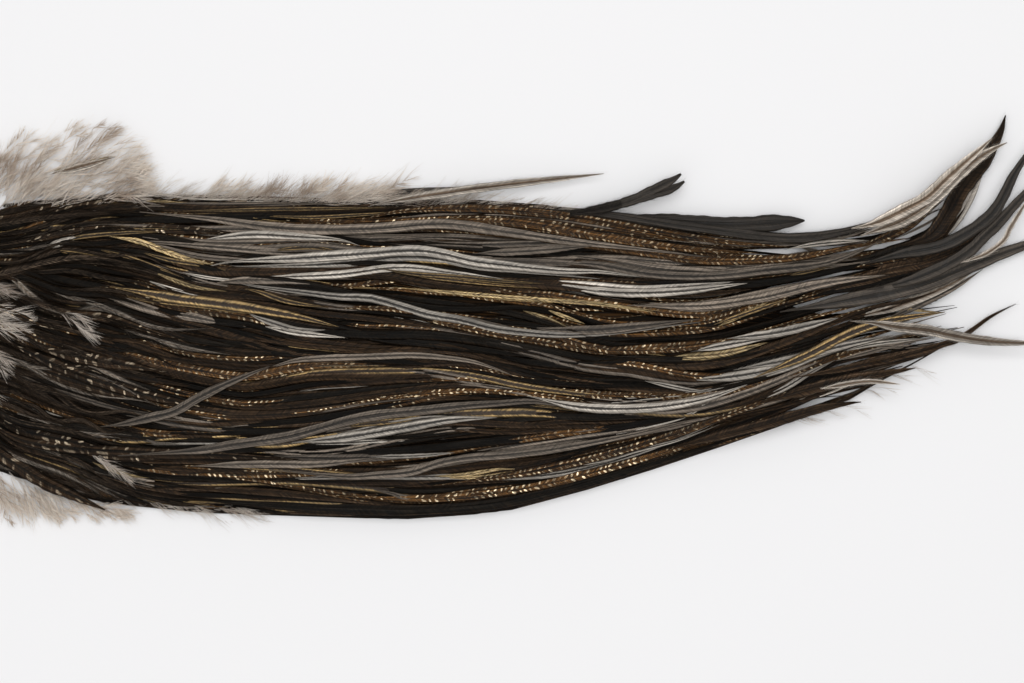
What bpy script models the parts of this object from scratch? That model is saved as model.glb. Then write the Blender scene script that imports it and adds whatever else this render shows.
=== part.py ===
"""Rooster saddle hackle: a dried skin patch with its long slender feathers, laid flat.

+X points towards the feather tips, +Y across and +Z up. The origin is the middle of the
footprint, on the surface that the hackle lies on. Sizes below are in millimetres.
"""

import math

import bmesh
import bpy
from mathutils import Vector

MM = 0.001

# The skin patch under the feather roots.
SKIN_ROOT_X = -176.0
SKIN_TIP_X = -80.0
SKIN_HALF_WIDTH = 32.0
SKIN_MIDDLE_Y = -5.0
SKIN_THICKNESS = 1.2
SKIN_CORNERS = 14
SKIN_ROOT_NARROWING = 0.86
GAP = 0.3

# The bed is the packed mass of feathers. Its two sides, as (x, y), from the root end to the tips.
BED_ROOT_X = -174.0
BED_TIP_X = 138.0
BED_UPPER_SIDE = [
    (-174, 14), (-160, 28), (-138, 35), (-100, 37), (-48, 36), (0, 35.5),
    (42, 32.5), (72, 27.5), (100, 24.5), (118, 26.5), (138, 30), (150, 32),
]
BED_LOWER_SIDE = [
    (-174, -20), (-160, -34), (-138, -45), (-108, -54), (-78, -57), (-18, -59),
    (12, -57), (42, -49), (72, -39.5), (102, -30), (118, -24), (126, -19), (138, -13), (150, -8),
]
# The height of the bed's middle, as (x, height).
BED_HEIGHT = [
    (-174, 6.5), (-150, 12), (-115, 15.5), (-75, 16), (-30, 14), (20, 12), (70, 9.5),
    (110, 7), (138, 4.5), (150, 3.5),
]
BED_EDGE_HEIGHT = 1.2
BED_DOME_FULLNESS = 2.4
BED_DOME_ROUNDNESS = 0.6
BED_STATIONS = 22
BED_LOCKS = 34
UNDER_STRIDE = 4
LOCK_GROOVE = 1.0
LOCK_SWAY = 0.06
LOCK_SWAY_LENGTH = 32.0
LOCK_TIP_REACH = 12.0
LOCK_VALLEY_REACH = -16.0
SKIN_MARGIN = 4.0
SKIN_END_MARGIN = 12.0
SKIN_STEP = 4.0

# A feather's section is a flat diamond whose ridge is the quill.
SECTION_RISE = 0.15
STATION_SPACING = 12.0
SAMPLES_PER_STATION = 5
SAMPLE_MARGIN = 1.3
QUILL_SHARE = 0.16
TIP_SHARE = 0.10
FEATHER_CLEARANCE = 0.42
SETTLE_PASSES = 40

FEATHER_COLOURS = {
    "black": ((0.012, 0.013, 0.014, 1), 0.38),
    "grey": ((0.150, 0.132, 0.115, 1), 0.52),
    "silver": ((0.420, 0.400, 0.365, 1), 0.48),
    "gold": ((0.300, 0.205, 0.095, 1), 0.48),
    "barred": ((0.072, 0.042, 0.018, 1), 0.55),
    "brown": ((0.060, 0.046, 0.036, 1), 0.55),
}
DOWN_COLOUR = ((0.520, 0.460, 0.400, 1), 0.90)
BED_COLOUR = ((0.030, 0.023, 0.017, 1), 0.60)
SKIN_COLOUR = ((0.560, 0.420, 0.240, 1), 0.70)

# The feathers that show whole on the bed or stand out of it, lowest first: name, colour, width and
# the route of the quill from the root end to the tip, as (x, y).
FEATHERS = [
    ("black_webbed_feather_upper", "black", 8.0, [(-158, 24), (-138, 28.5), (-120, 31), (-101, 32.5)]),
    ("black_webbed_feather_middle", "black", 9.0, [(-152, 9), (-132, 15), (-114, 18.5), (-95, 16.5)]),
    ("black_webbed_feather_lower", "black", 6.5, [(-152, -12), (-132, -19.5), (-114, -27), (-92, -31.5)]),
    ("dark_blunt_feather", "brown", 6.0, [(46, 30.5), (66, 29.6), (84, 28.8), (103.8, 30)]),
    ("barred_feather_1", "barred", 3.8,
     [(-34.5, 28.5), (-18, 32.6), (6, 33.4), (30, 31.6), (54, 27.6), (78, 23.8), (99, 21.9)]),
    ("barred_feather_2", "barred", 3.8, [(-9, 30.5), (18, 29), (42, 24.9), (66, 21.6), (90, 20)]),
    ("barred_feather_3", "barred", 3.8,
     [(3, 25.8), (30, 23.6), (54, 20.2), (75, 17.6), (99, 18.6), (120, 22.4), (135, 24.6)]),
    ("black_ridge_feather", "black", 4.4,
     [(25.5, 33.4), (45, 31.6), (69, 28), (87, 25.6), (102, 24.7), (117, 27), (127.5, 30.6),
      (134.4, 35.1)]),
    ("black_upturned_feather", "black", 6.0,
     [(33, 31.8), (43.5, 33.6), (51.6, 36), (57.9, 39), (63.3, 41.7), (66.3, 43.8)]),
    ("taupe_flyaway_feather", "grey", 4.2,
     [(-27, 34.4), (-8, 37.6), (12, 40.4), (30, 42.6), (43.2, 44.1)]),
    ("grey_feather_1", "grey", 4.2,
     [(-96, 32.4), (-75, 30.3), (-51, 27.3), (-27, 27.3), (-6, 28.8), (12, 26.7), (30, 24),
      (48, 21.9), (67.5, 19.8)]),
    ("grey_feather_2", "grey", 4.2,
     [(18, 17.4), (39, 16.8), (57, 13.8), (75, 13.2), (93, 15), (111, 17.4), (126.6, 23.7)]),
    ("grey_feather_3", "silver", 3.6, [(28, 10.2), (48, 8.2), (66, 8.6), (86, 11)]),
    ("grey_feather_4", "grey", 4.2, [(50, 4.4), (72, 4.2), (90, 6.6), (108, 10.8), (127.5, 13.5)]),
    ("silver_feather_low", "silver", 3.2, [(-62, 12.6), (-38, 13.4), (-18, 15.6), (-2, 14), (13, 12.2)]),
    ("silver_feather_long", "silver", 4.2,
     [(-76.2, 15.6), (-67.5, 17.4), (-49.8, 18.3), (-32.1, 19.5), (-14.4, 20.7), (-5.7, 19.8),
      (3, 17.7), (12, 16.5), (30, 14.7), (42, 14.4), (54, 12.9)]),
    ("grey_feather_short_tip", "grey", 3.0, [(4, 19.8), (21, 20.6), (39.6, 22.2)]),
    ("straw_feather_upper", "gold", 2.6,
     [(-104.4, 24.9), (-95.7, 23.4), (-88.5, 20.7), (-81.6, 18.3), (-73.5, 16.5)]),
    ("gold_laced_feather", "gold", 4.2,
     [(-104.1, 9.9), (-93.9, 8.1), (-84, 6.3), (-73.5, 5.1), (-63, 3.6), (-48, 0.9), (-36, -2.1)]),
    ("gold_thin_feather", "gold", 1.8,
     [(-25.2, 15.6), (-14.4, 13.8), (-1.2, 12.9), (12, 11.7), (25.2, 10.8)]),
    ("straw_feather_middle", "gold", 2.8, [(-20, 9.8), (3, 7.7), (24, 6.1), (42, 4.6), (58.5, 2.2)]),
    ("spotted_feather_low", "barred", 5.6,
     [(-149, -30), (-138, -40), (-126, -48), (-114, -53.6), (-106.5, -57)]),
    ("spotted_feather_long", "barred", 4.4,
     [(-146, -27), (-132, -35.5), (-114, -38.4), (-93, -39.6), (-72, -40.4), (-48, -41.6)]),
    ("spotted_feather_middle", "barred", 4.8,
     [(-136, -6), (-120, -13.4), (-108, -18), (-93, -22.4), (-75, -26)]),
    ("brown_webbed_feather", "brown", 6.8, [(-134, 8), (-117, 2.4), (-103.5, -0.6), (-90.6, -4.5)]),
    ("low_grey_feather", "grey", 3.0, [(-80, -43.6), (-60, -43), (-42, -43), (-24, -41.2)]),
    ("arched_grey_feather", "grey", 4.2,
     [(-102, -40.5), (-87, -39.6), (-76.2, -38.7), (-67.5, -37.2), (-58.5, -36), (-49.8, -34.5),
      (-41.1, -32.1), (-32.1, -29.7), (-23.4, -28.2), (-14.4, -27.3), (-5.7, -26.4), (3.3, -25.5),
      (12, -24.9), (21, -24.3), (30, -25.5), (39, -26.7)]),
    ("arched_thin_feather", "grey", 2.6,
     [(-60.6, -15.6), (-49.8, -12.3), (-40.8, -11.4), (-32.1, -11.1), (-23.4, -10.8),
      (-14.4, -10.5), (-5.7, -11.1), (3.3, -12.3), (10.2, -14.4), (15.6, -16.5)]),
    ("crossing_grey_feather", "grey", 3.8,
     [(-106.8, -31.8), (-99.9, -30.9), (-92.1, -29.1), (-84.9, -27.3), (-78, -23.4), (-70.8, -19.8),
      (-63.9, -16.8), (-56.4, -13.8)]),
    ("silver_feather_lower", "silver", 4.0,
     [(-50, -36.6), (-34.5, -35.1), (-18, -32.4), (-3, -29.8), (11.1, -29.1)]),
    ("white_tip_feather", "silver", 1.8, [(-27, -40.9), (-12, -40.5), (-1.5, -39.6)]),
    ("black_lower_edge_feather", "black", 4.6,
     [(-87, -53), (-63, -55.2), (-36, -56.6), (-12, -57), (12, -55), (36, -49.6), (60, -42.6),
      (84, -35)]),
    ("barred_feather_lower_1", "barred", 3.6,
     [(-39, -52.6), (-18, -53.6), (3, -52.8), (24, -49.6), (48, -43.6), (72, -36.4), (93, -29)]),
    ("sweeping_grey_feather", "grey", 3.2,
     [(-57, -44.7), (-49.8, -45.3), (-40.8, -46.2), (-32.1, -46.8), (-23.4, -46.2), (-14.4, -45.3),
      (-5.7, -42.6), (3.3, -41.1), (12, -40.5), (21, -39.6), (30, -38.4), (51, -34.5),
      (72, -29.4)]),
    ("barred_feather_lower_2", "barred", 3.6,
     [(-8, -49.6), (8, -47.6), (24, -45), (45, -40), (66, -33.6), (87, -26), (104, -19.4)]),
    ("brown_low_tip_feather", "brown", 4.6,
     [(62.4, -38.7), (73.5, -35.7), (84, -33), (92.4, -30.9), (100.8, -28.5), (108.9, -26.4),
      (117.3, -24.9), (120.3, -24.6)]),
    ("brown_frayed_feather", "brown", 4.2, [(90, -25), (104, -21), (118, -17.6), (136.2, -14.4)]),
    ("small_curved_feather", "grey", 1.9, [(108, -20.6), (121.5, -18.4), (131.4, -19.2)]),
    ("thin_brown_feather", "brown", 2.6,
     [(99, -17.4), (108, -15.9), (117.3, -14.1), (128.4, -11.7), (139.5, -9), (145.2, -7.2),
      (149.1, -6), (153.9, -3), (159, 0.6), (164.1, 3.3), (167.4, 4.8)]),
    ("pale_middle_feather", "silver", 3.8, [(20, -22.6), (36, -26), (54, -26.4), (72, -24), (86, -19.4)]),
    ("pale_rising_feather", "silver", 3.2, [(82, -15), (98, -12), (114, -8), (130, -4.6)]),
    ("straw_feather_right", "gold", 2.8, [(62, -11.2), (78, -10.2), (92, -6.8)]),
    ("pale_short_feather", "silver", 3.0, [(80, -5.6), (96, -3.6), (113.4, 0.6)]),
    ("gold_rising_feather", "gold", 1.8, [(76, -1.4), (87, 2.4), (98, 6.2)]),
    ("gold_laced_right_feather", "gold", 3.6,
     [(88, -17.4), (104, -10.6), (117, -4), (129, -0.2), (145.5, 2.4)]),
    ("pale_outer_feather", "silver", 3.8,
     [(117, -0.3), (124.2, -0.9), (131.1, -2.1), (139.5, -3), (145.2, -4.2), (153.3, -5.7),
      (161.7, -6.6), (169.2, -6.9), (175.8, -6.9)]),
    ("dark_wide_feather", "brown", 6.0,
     [(96, 2.4), (117, 6), (138, 10.5), (154.5, 16.8), (169.2, 22.2), (184, 27)]),
    ("fan_feather_lower", "black", 4.6,
     [(122.1, 9), (133.5, 11.4), (144, 15.6), (152.4, 20.4), (157.5, 25.2), (162, 29.4),
      (166.5, 34.2), (172.5, 40.8), (177.6, 47.4)]),
    ("fan_feather_thin", "grey", 1.9,
     [(150, 17.1), (157.5, 19.8), (162.9, 23.7), (165, 27.6), (167.4, 31.5), (171.6, 38.4)]),
    ("fan_feather_middle", "brown", 4.8,
     [(120, 16.5), (132, 19.8), (144, 22.2), (151.5, 25.8), (159, 31.2), (162.9, 36.9),
      (166.2, 43.5), (171, 51), (174, 56.4)]),
    ("fan_feather_dark", "brown", 4.8,
     [(132, 22.2), (141, 25.2), (146.1, 31.8), (149.7, 38.1), (153, 42.6), (156.3, 46.2),
      (159.6, 51), (162.9, 57), (164.4, 61.8)]),
    ("fan_feather_pale", "silver", 4.0,
     [(120, 25.2), (128.4, 28.2), (134.1, 30.9), (139.5, 34.5), (145.2, 39.9), (150.6, 45),
      (156.3, 49.2), (160.5, 51.6), (163.8, 53.1)]),
    ("fan_feather_top", "grey", 3.6,
     [(117, 27.3), (124.5, 29.1), (133.5, 33.3), (139.5, 36.6), (145.2, 42), (150.6, 46.8),
      (155.1, 50.7), (159, 54.3)]),
]

# The tufts of down lie beside the bed. Each has a name, a thickness, the line that its locks grow
# from and the line that their tips reach, both as (x, y) from one end of the tuft to the other.
DOWN_LOCK_SPACING = 3.0
DOWN_VALLEY_SHARE = 0.8
DOWN_ROWS = 4
DOWN_TUFTS = [
    ("down_butt_upper", 6.0,
     [(-167, 28), (-158, 32), (-146, 36), (-130, 37.5), (-112, 37.8), (-98, 38.2)],
     [(-178, 34), (-168, 45), (-154, 52), (-138, 57.5), (-123, 62), (-104, 61.6), (-95, 50), (-93.5, 42)]),
    ("down_butt_lower", 5.0,
     [(-104, -57), (-114, -54.5), (-126, -51.5), (-140, -47), (-154, -40.5), (-166, -35)],
     [(-97, -60), (-112, -60.6), (-120, -61), (-128, -62.8), (-142, -61.4), (-158, -54), (-170, -47),
      (-178, -39)]),
    ("down_edge_upper_near", 2.6,
     [(-80, 38.4), (-68, 38.2), (-58, 38)],
     [(-86, 42.5), (-72, 43.6), (-60, 44.4), (-53, 42.2)]),
    ("down_edge_upper_far", 2.8,
     [(-49, 38), (-38, 37.7), (-24, 37.4)],
     [(-51, 40.4), (-43, 44), (-30, 47.8), (-14, 46.4), (-6, 43.6)]),
    ("down_butt_end", 5.0,
     [(-177.5, -30), (-177, -20), (-177, -4), (-177, 12), (-177, 24)],
     [(-181, -35), (-183, -22), (-184, -4), (-183, 14), (-180, 29)]),
]


def clear_scene():
    for old in list(bpy.data.objects):
        bpy.data.objects.remove(old)


def new_collection(name):
    collection = bpy.data.collections.new(name)
    bpy.context.scene.collection.children.link(collection)
    return collection


def material(name, look):
    colour, roughness = look
    made = bpy.data.materials.new(name)
    made.use_nodes = True
    shader = made.node_tree.nodes["Principled BSDF"]
    shader.inputs["Base Color"].default_value = colour
    shader.inputs["Roughness"].default_value = roughness
    return made


def smooth_step(share):
    share = min(max(share, 0.0), 1.0)
    return share * share * (3 - 2 * share)


def between(stations, x):
    """The value at x on the line through (x, value) stations."""
    for (x0, v0), (x1, v1) in zip(stations, stations[1:]):
        if x <= x1:
            return v0 + (v1 - v0) * max(x - x0, 0) / (x1 - x0)
    return stations[-1][1]


def bed_underside(x, y):
    """The bed's underside lies on the skin and steps down to the surface past the skin's edge."""
    past = max(x - SKIN_TIP_X - SKIN_END_MARGIN, abs(y - SKIN_MIDDLE_Y) - SKIN_HALF_WIDTH - SKIN_MARGIN)
    return (SKIN_THICKNESS + GAP) * (1 - smooth_step(past / SKIN_STEP))


def bed_crest(x, y):
    """The height of the lock crests at (x, y), or 0 outside the bed."""
    if not BED_ROOT_X <= x <= BED_TIP_X + LOCK_TIP_REACH:
        return 0.0
    low, high = between(BED_LOWER_SIDE, x), between(BED_UPPER_SIDE, x)
    across = 2 * (y - low) / (high - low) - 1
    if abs(across) > 1.02:
        return 0.0
    dome = max(1 - abs(across) ** BED_DOME_FULLNESS, 0.0) ** BED_DOME_ROUNDNESS
    return BED_EDGE_HEIGHT + (between(BED_HEIGHT, x) - BED_EDGE_HEIGHT) * dome


def link(name, data, collection, look):
    made = bpy.data.objects.new(name, data)
    made.data.materials.append(look)
    collection.objects.link(made)
    return made


def link_closed(name, mesh, collection, look):
    """Turns a closed shell's faces outward and gives it an object."""
    bmesh.ops.recalc_face_normals(mesh, faces=mesh.faces)
    data = bpy.data.meshes.new(name)
    mesh.to_mesh(data)
    mesh.free()
    return link(name, data, collection, look)


def make_skin(collection, look):
    """The skin is a flat patch with a hand-trimmed outline, narrower at the root end."""
    length = SKIN_TIP_X - SKIN_ROOT_X
    middle = (SKIN_TIP_X + SKIN_ROOT_X) / 2
    curve = bpy.data.curves.new("skin", "CURVE")
    curve.dimensions = "2D"
    curve.fill_mode = "BOTH"
    curve.extrude = SKIN_THICKNESS / 2 * MM
    curve.resolution_u = 3
    spline = curve.splines.new("BEZIER")
    spline.bezier_points.add(SKIN_CORNERS - 1)
    for i, point in enumerate(spline.bezier_points):
        turn = 2 * math.pi * i / SKIN_CORNERS
        trim = 1 + 0.035 * math.cos(3 * turn + 0.6) + 0.025 * math.sin(5 * turn)
        towards_tip = math.copysign(abs(math.cos(turn)) ** 0.62, math.cos(turn))
        sideways = math.copysign(abs(math.sin(turn)) ** 0.7, math.sin(turn))
        x = middle + length / 2 * towards_tip * min(trim, 1.0)
        narrow = SKIN_ROOT_NARROWING + (1 - SKIN_ROOT_NARROWING) * (x - SKIN_ROOT_X) / length
        y = SKIN_MIDDLE_Y + SKIN_HALF_WIDTH * narrow * trim * sideways
        point.co = (x * MM, y * MM, 0)
        point.handle_left_type = "AUTO"
        point.handle_right_type = "AUTO"
    spline.use_cyclic_u = True
    skin = link("skin", curve, collection, look)
    skin.location.z = SKIN_THICKNESS / 2 * MM
    return skin


def make_bed(collection, look):
    """The packed feathers: a loft whose top is ridged by the locks and whose tips end in points."""
    columns = 2 * BED_LOCKS
    rows = []
    for i in range(BED_STATIONS + 1):
        row = []
        for j in range(columns + 1):
            crest = j % 2
            edge = 2 * j / columns - 1
            reach = BED_TIP_X + (LOCK_TIP_REACH * math.sin(1.7 * j) ** 2 if crest else LOCK_VALLEY_REACH)
            x = BED_ROOT_X + (reach - BED_ROOT_X) * i / BED_STATIONS
            sway = LOCK_SWAY * (1 - edge * edge) * math.sin(x / LOCK_SWAY_LENGTH + 4 * edge)
            low, high = between(BED_LOWER_SIDE, x), between(BED_UPPER_SIDE, x)
            y = low + (high - low) * (edge + sway + 1) / 2
            groove = 0 if crest or abs(edge) == 1 else LOCK_GROOVE * (1 - edge**4)
            row.append((x, y, max(bed_crest(x, y), bed_underside(x, y) + BED_EDGE_HEIGHT) - groove))
        rows.append(row)
    mesh = bmesh.new()
    top = [[mesh.verts.new(Vector(p) * MM) for p in row] for row in rows]
    under = [{} for row in rows]
    for i, row in enumerate(rows):
        for j in range(0, columns + 1, 1 if i in (0, BED_STATIONS) else UNDER_STRIDE):
            x, y, _ = row[j]
            under[i][j] = mesh.verts.new(Vector((x, y, bed_underside(x, y))) * MM)
    for i in range(BED_STATIONS):
        for j in range(columns):
            mesh.faces.new((top[i][j], top[i + 1][j], top[i + 1][j + 1], top[i][j + 1]))
        for j in range(0, columns, UNDER_STRIDE):
            spanned = range(j, j + UNDER_STRIDE + 1)
            near = [under[i][k] for k in spanned if k in under[i]]
            far = [under[i + 1][k] for k in spanned if k in under[i + 1]]
            mesh.faces.new(near + far[::-1])
        for j in (0, columns):
            mesh.faces.new((top[i][j], under[i][j], under[i + 1][j], top[i + 1][j]))
    for i in (0, BED_STATIONS):
        for j in range(columns):
            mesh.faces.new((top[i][j], under[i][j], under[i][j + 1], top[i][j + 1]))
    return link_closed("feather_bed", mesh, collection, look)


def along(route, spacing):
    """Points every spacing or less along a smooth curve through the route's points."""
    points = [Vector(p) for p in route]
    ends = [2 * points[0] - points[1], *points, 2 * points[-1] - points[-2]]
    found = [points[0]]
    for a, b, c, d in zip(ends, ends[1:], ends[2:], ends[3:]):
        steps = max(1, math.ceil((c - b).length / spacing))
        for k in range(1, steps + 1):
            t = k / steps
            bend = (2 * a - 5 * b + 4 * c - d) * t * t
            found.append(0.5 * (2 * b + (c - a) * t + bend + (3 * b - a - 3 * c + d) * t**3))
    return found


def half_width(width, share):
    """Half a feather's width at a share of its length: a slim quill end, full vanes and a fine tip."""
    root = QUILL_SHARE + (1 - QUILL_SHARE) * smooth_step(share / 0.22)
    tip = TIP_SHARE + (1 - TIP_SHARE) * math.sqrt(max(1 - smooth_step((share - 0.55) / 0.45), 0.0))
    return width / 2 * root * tip


def between_stations(points, widths, heights):
    """Samples on the straight lines between stations, as (station, point, half, height)."""
    found = []
    for i in range(len(points) - 1):
        for k in range(SAMPLES_PER_STATION):
            t = k / SAMPLES_PER_STATION
            half = widths[i] + (widths[i + 1] - widths[i]) * t
            height = heights[i] + (heights[i + 1] - heights[i]) * t
            found.append((i, points[i].lerp(points[i + 1], t), half, height))
    found.append((len(points) - 2, points[-1], widths[-1], heights[-1]))
    return found


def settle(points, widths, laid):
    """The quill's height at each point, where the feather drapes over the bed and those laid before it."""
    needed = [FEATHER_CLEARANCE + half * SECTION_RISE for half in widths]
    for i, at, half, _ in between_stations(points, widths, needed):
        below = max(bed_crest(at.x, at.y + dy) for dy in (-half, 0, half))
        for other, others_half, height in laid:
            if (other - at).length < half + others_half + SAMPLE_MARGIN:
                below = max(below, height + others_half * SECTION_RISE)
        for station in (i, i + 1):
            needed[station] = max(needed[station], below + FEATHER_CLEARANCE + half * SECTION_RISE)
    heights = list(needed)
    for _ in range(SETTLE_PASSES):
        padded = [heights[0], *heights, heights[-1]]
        eased = [(a + 2 * b + c) / 4 for a, b, c in zip(padded, padded[1:], padded[2:])]
        heights = [max(n, e) for n, e in zip(needed, eased)]
    return heights


def feather_section():
    """The diamond that every feather is swept from, one unit from quill to edge."""
    curve = bpy.data.curves.new("feather_section", "CURVE")
    curve.dimensions = "2D"
    spline = curve.splines.new("POLY")
    spline.points.add(3)
    for point, (x, y) in zip(spline.points, ((1, 0), (0, -SECTION_RISE), (-1, 0), (0, SECTION_RISE))):
        point.co = (x, y, 0, 1)
    spline.use_cyclic_u = True
    return curve


def make_feather(name, width, route, section, laid, collection, look):
    """A feather is the diamond section swept along its quill, as wide as its vanes at each point."""
    points = along(route, STATION_SPACING)
    widths = [half_width(width, i / (len(points) - 1)) for i in range(len(points))]
    heights = settle(points, widths, laid)
    laid.extend(sample[1:] for sample in between_stations(points, widths, heights))
    curve = bpy.data.curves.new(name, "CURVE")
    curve.dimensions = "3D"
    curve.twist_mode = "Z_UP"
    curve.bevel_mode = "OBJECT"
    curve.bevel_object = section
    curve.use_fill_caps = True
    spline = curve.splines.new("POLY")
    spline.points.add(len(points) - 1)
    for point, at, half, height in zip(spline.points, points, widths, heights):
        point.co = (at.x * MM, at.y * MM, height * MM, 1)
        point.radius = half * MM
    return link(name, curve, collection, look)


def make_down(name, thickness, roots, tips, collection, look):
    """A tuft of down: a low soft mound between two lines, with its locks fused side by side."""
    length = sum((Vector(b) - Vector(a)).length for a, b in zip(tips, tips[1:]))
    columns = 2 * round(length / DOWN_LOCK_SPACING / 2)
    lines = []
    for route in (roots, tips):
        fine = along(route, 0.5)
        lines.append([fine[round(k * (len(fine) - 1) / columns)] for k in range(columns + 1)])
    mesh = bmesh.new()
    top, under = [], []
    for k, (root, tip) in enumerate(zip(*lines)):
        crest = k % 2
        reach = 1.0 if crest else DOWN_VALLEY_SHARE
        ends = min(k, columns - k) / columns
        height = thickness * (0.35 + 0.65 * smooth_step(ends * 4)) * (1.0 if crest else 0.72)
        top.append([])
        under.append([])
        for row in range(DOWN_ROWS + 1):
            share = row / DOWN_ROWS
            at = root.lerp(tip, share * reach)
            rise = GAP + height * max((1 - share**1.6) * (0.55 + 0.9 * share), 0.07)
            top[-1].append(mesh.verts.new(Vector((at.x, at.y, rise)) * MM))
            if row in (0, DOWN_ROWS):
                under[-1].append(mesh.verts.new(Vector((at.x, at.y, 0)) * MM))
    for k in range(columns):
        for row in range(DOWN_ROWS):
            mesh.faces.new((top[k][row], top[k + 1][row], top[k + 1][row + 1], top[k][row + 1]))
        mesh.faces.new((under[k][0], under[k][1], under[k + 1][1], under[k + 1][0]))
        mesh.faces.new((top[k][0], under[k][0], under[k + 1][0], top[k + 1][0]))
        mesh.faces.new((top[k][-1], under[k][-1], under[k + 1][-1], top[k + 1][-1]))
    for k in (0, columns):
        mesh.faces.new([*top[k], under[k][1], under[k][0]])
    return link_closed(name, mesh, collection, look)


def main():
    clear_scene()
    parts = new_collection("rooster_saddle_hackle")
    guides = new_collection("guides")
    make_skin(parts, material("skin", SKIN_COLOUR))
    make_bed(parts, material("feather_bed", BED_COLOUR))
    section = bpy.data.objects.new("feather_section", feather_section())
    section.hide_render = True
    section.display_type = "WIRE"
    guides.objects.link(section)
    looks = {kind: material(kind + "_feather", look) for kind, look in FEATHER_COLOURS.items()}
    laid = []
    for name, kind, width, route in FEATHERS:
        make_feather(name, width, route, section, laid, parts, looks[kind])
    down = material("down", DOWN_COLOUR)
    for tuft in DOWN_TUFTS:
        make_down(*tuft, parts, down)


main()
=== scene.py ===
"""Rooster saddle hackle: the looks of a dried saddle pelt that lies flat, down to its barbs and its down.

The tables are in millimetres, in the frame's axes: +X towards the tips, +Y across and +Z up. The code
works in metres.
"""

import math

import bmesh
import bpy
import numpy as np
from bpy.props import FloatProperty, FloatVectorProperty, IntProperty, PointerProperty
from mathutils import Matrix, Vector
from mathutils.bvhtree import BVHTree


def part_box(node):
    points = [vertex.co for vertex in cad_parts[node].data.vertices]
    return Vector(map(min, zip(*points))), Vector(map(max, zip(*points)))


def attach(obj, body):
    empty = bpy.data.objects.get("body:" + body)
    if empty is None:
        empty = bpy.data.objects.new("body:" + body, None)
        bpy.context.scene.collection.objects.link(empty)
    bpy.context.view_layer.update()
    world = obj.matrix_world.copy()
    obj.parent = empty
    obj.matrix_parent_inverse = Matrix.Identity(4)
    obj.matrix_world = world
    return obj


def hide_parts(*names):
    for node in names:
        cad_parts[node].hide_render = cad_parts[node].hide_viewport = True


bl_info = {
    "name": "Rooster saddle hackle",
    "version": (1, 0, 0),
    "blender": (4, 5, 0),
    "location": "3D View > Sidebar > Hackle",
    "description": "Builds a rooster saddle hackle, feather by feather, on its solids",
    "category": "Add Mesh",
}

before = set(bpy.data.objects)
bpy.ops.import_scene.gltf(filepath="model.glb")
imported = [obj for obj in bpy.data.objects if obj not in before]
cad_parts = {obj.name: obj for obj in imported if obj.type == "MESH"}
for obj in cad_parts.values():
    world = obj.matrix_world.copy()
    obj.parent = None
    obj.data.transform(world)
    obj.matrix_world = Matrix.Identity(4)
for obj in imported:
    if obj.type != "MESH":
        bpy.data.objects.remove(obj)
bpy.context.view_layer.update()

MM = 0.001
PHOTO_PIXELS_ACROSS = 1024
MM_PER_PIXEL = 0.3

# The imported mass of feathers: where its roots start, and its two sides as (x, y).
ROOTS_X = -172
UPPER_SIDE = [
    (-174, 14), (-160, 28), (-138, 35), (-100, 37), (-48, 36), (0, 35.5),
    (42, 32.5), (72, 28), (100, 25.5), (118, 27.5), (138, 32), (150, 36), (165, 46),
]
LOWER_SIDE = [
    (-174, -20), (-160, -34), (-138, -45), (-108, -54), (-78, -57), (-18, -59), (12, -57),
    (42, -49), (72, -39.5), (102, -30), (118, -24), (126, -19), (138, -13), (150, -6), (165, 2),
]

# Past the mass the feathers fan out and ride on each other: they rise from this x, over this stretch.
FAN_START_X = 100
FAN_STRETCH = 30

# The skin under the roots: the x of its edge towards the tips, its middle and half its width.
SKIN_TIP_X = -80
SKIN_MIDDLE_Y = -5
SKIN_HALF_WIDTH = 32

# Nothing reaches below this height.
LOWEST = 0.02 * MM

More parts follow.
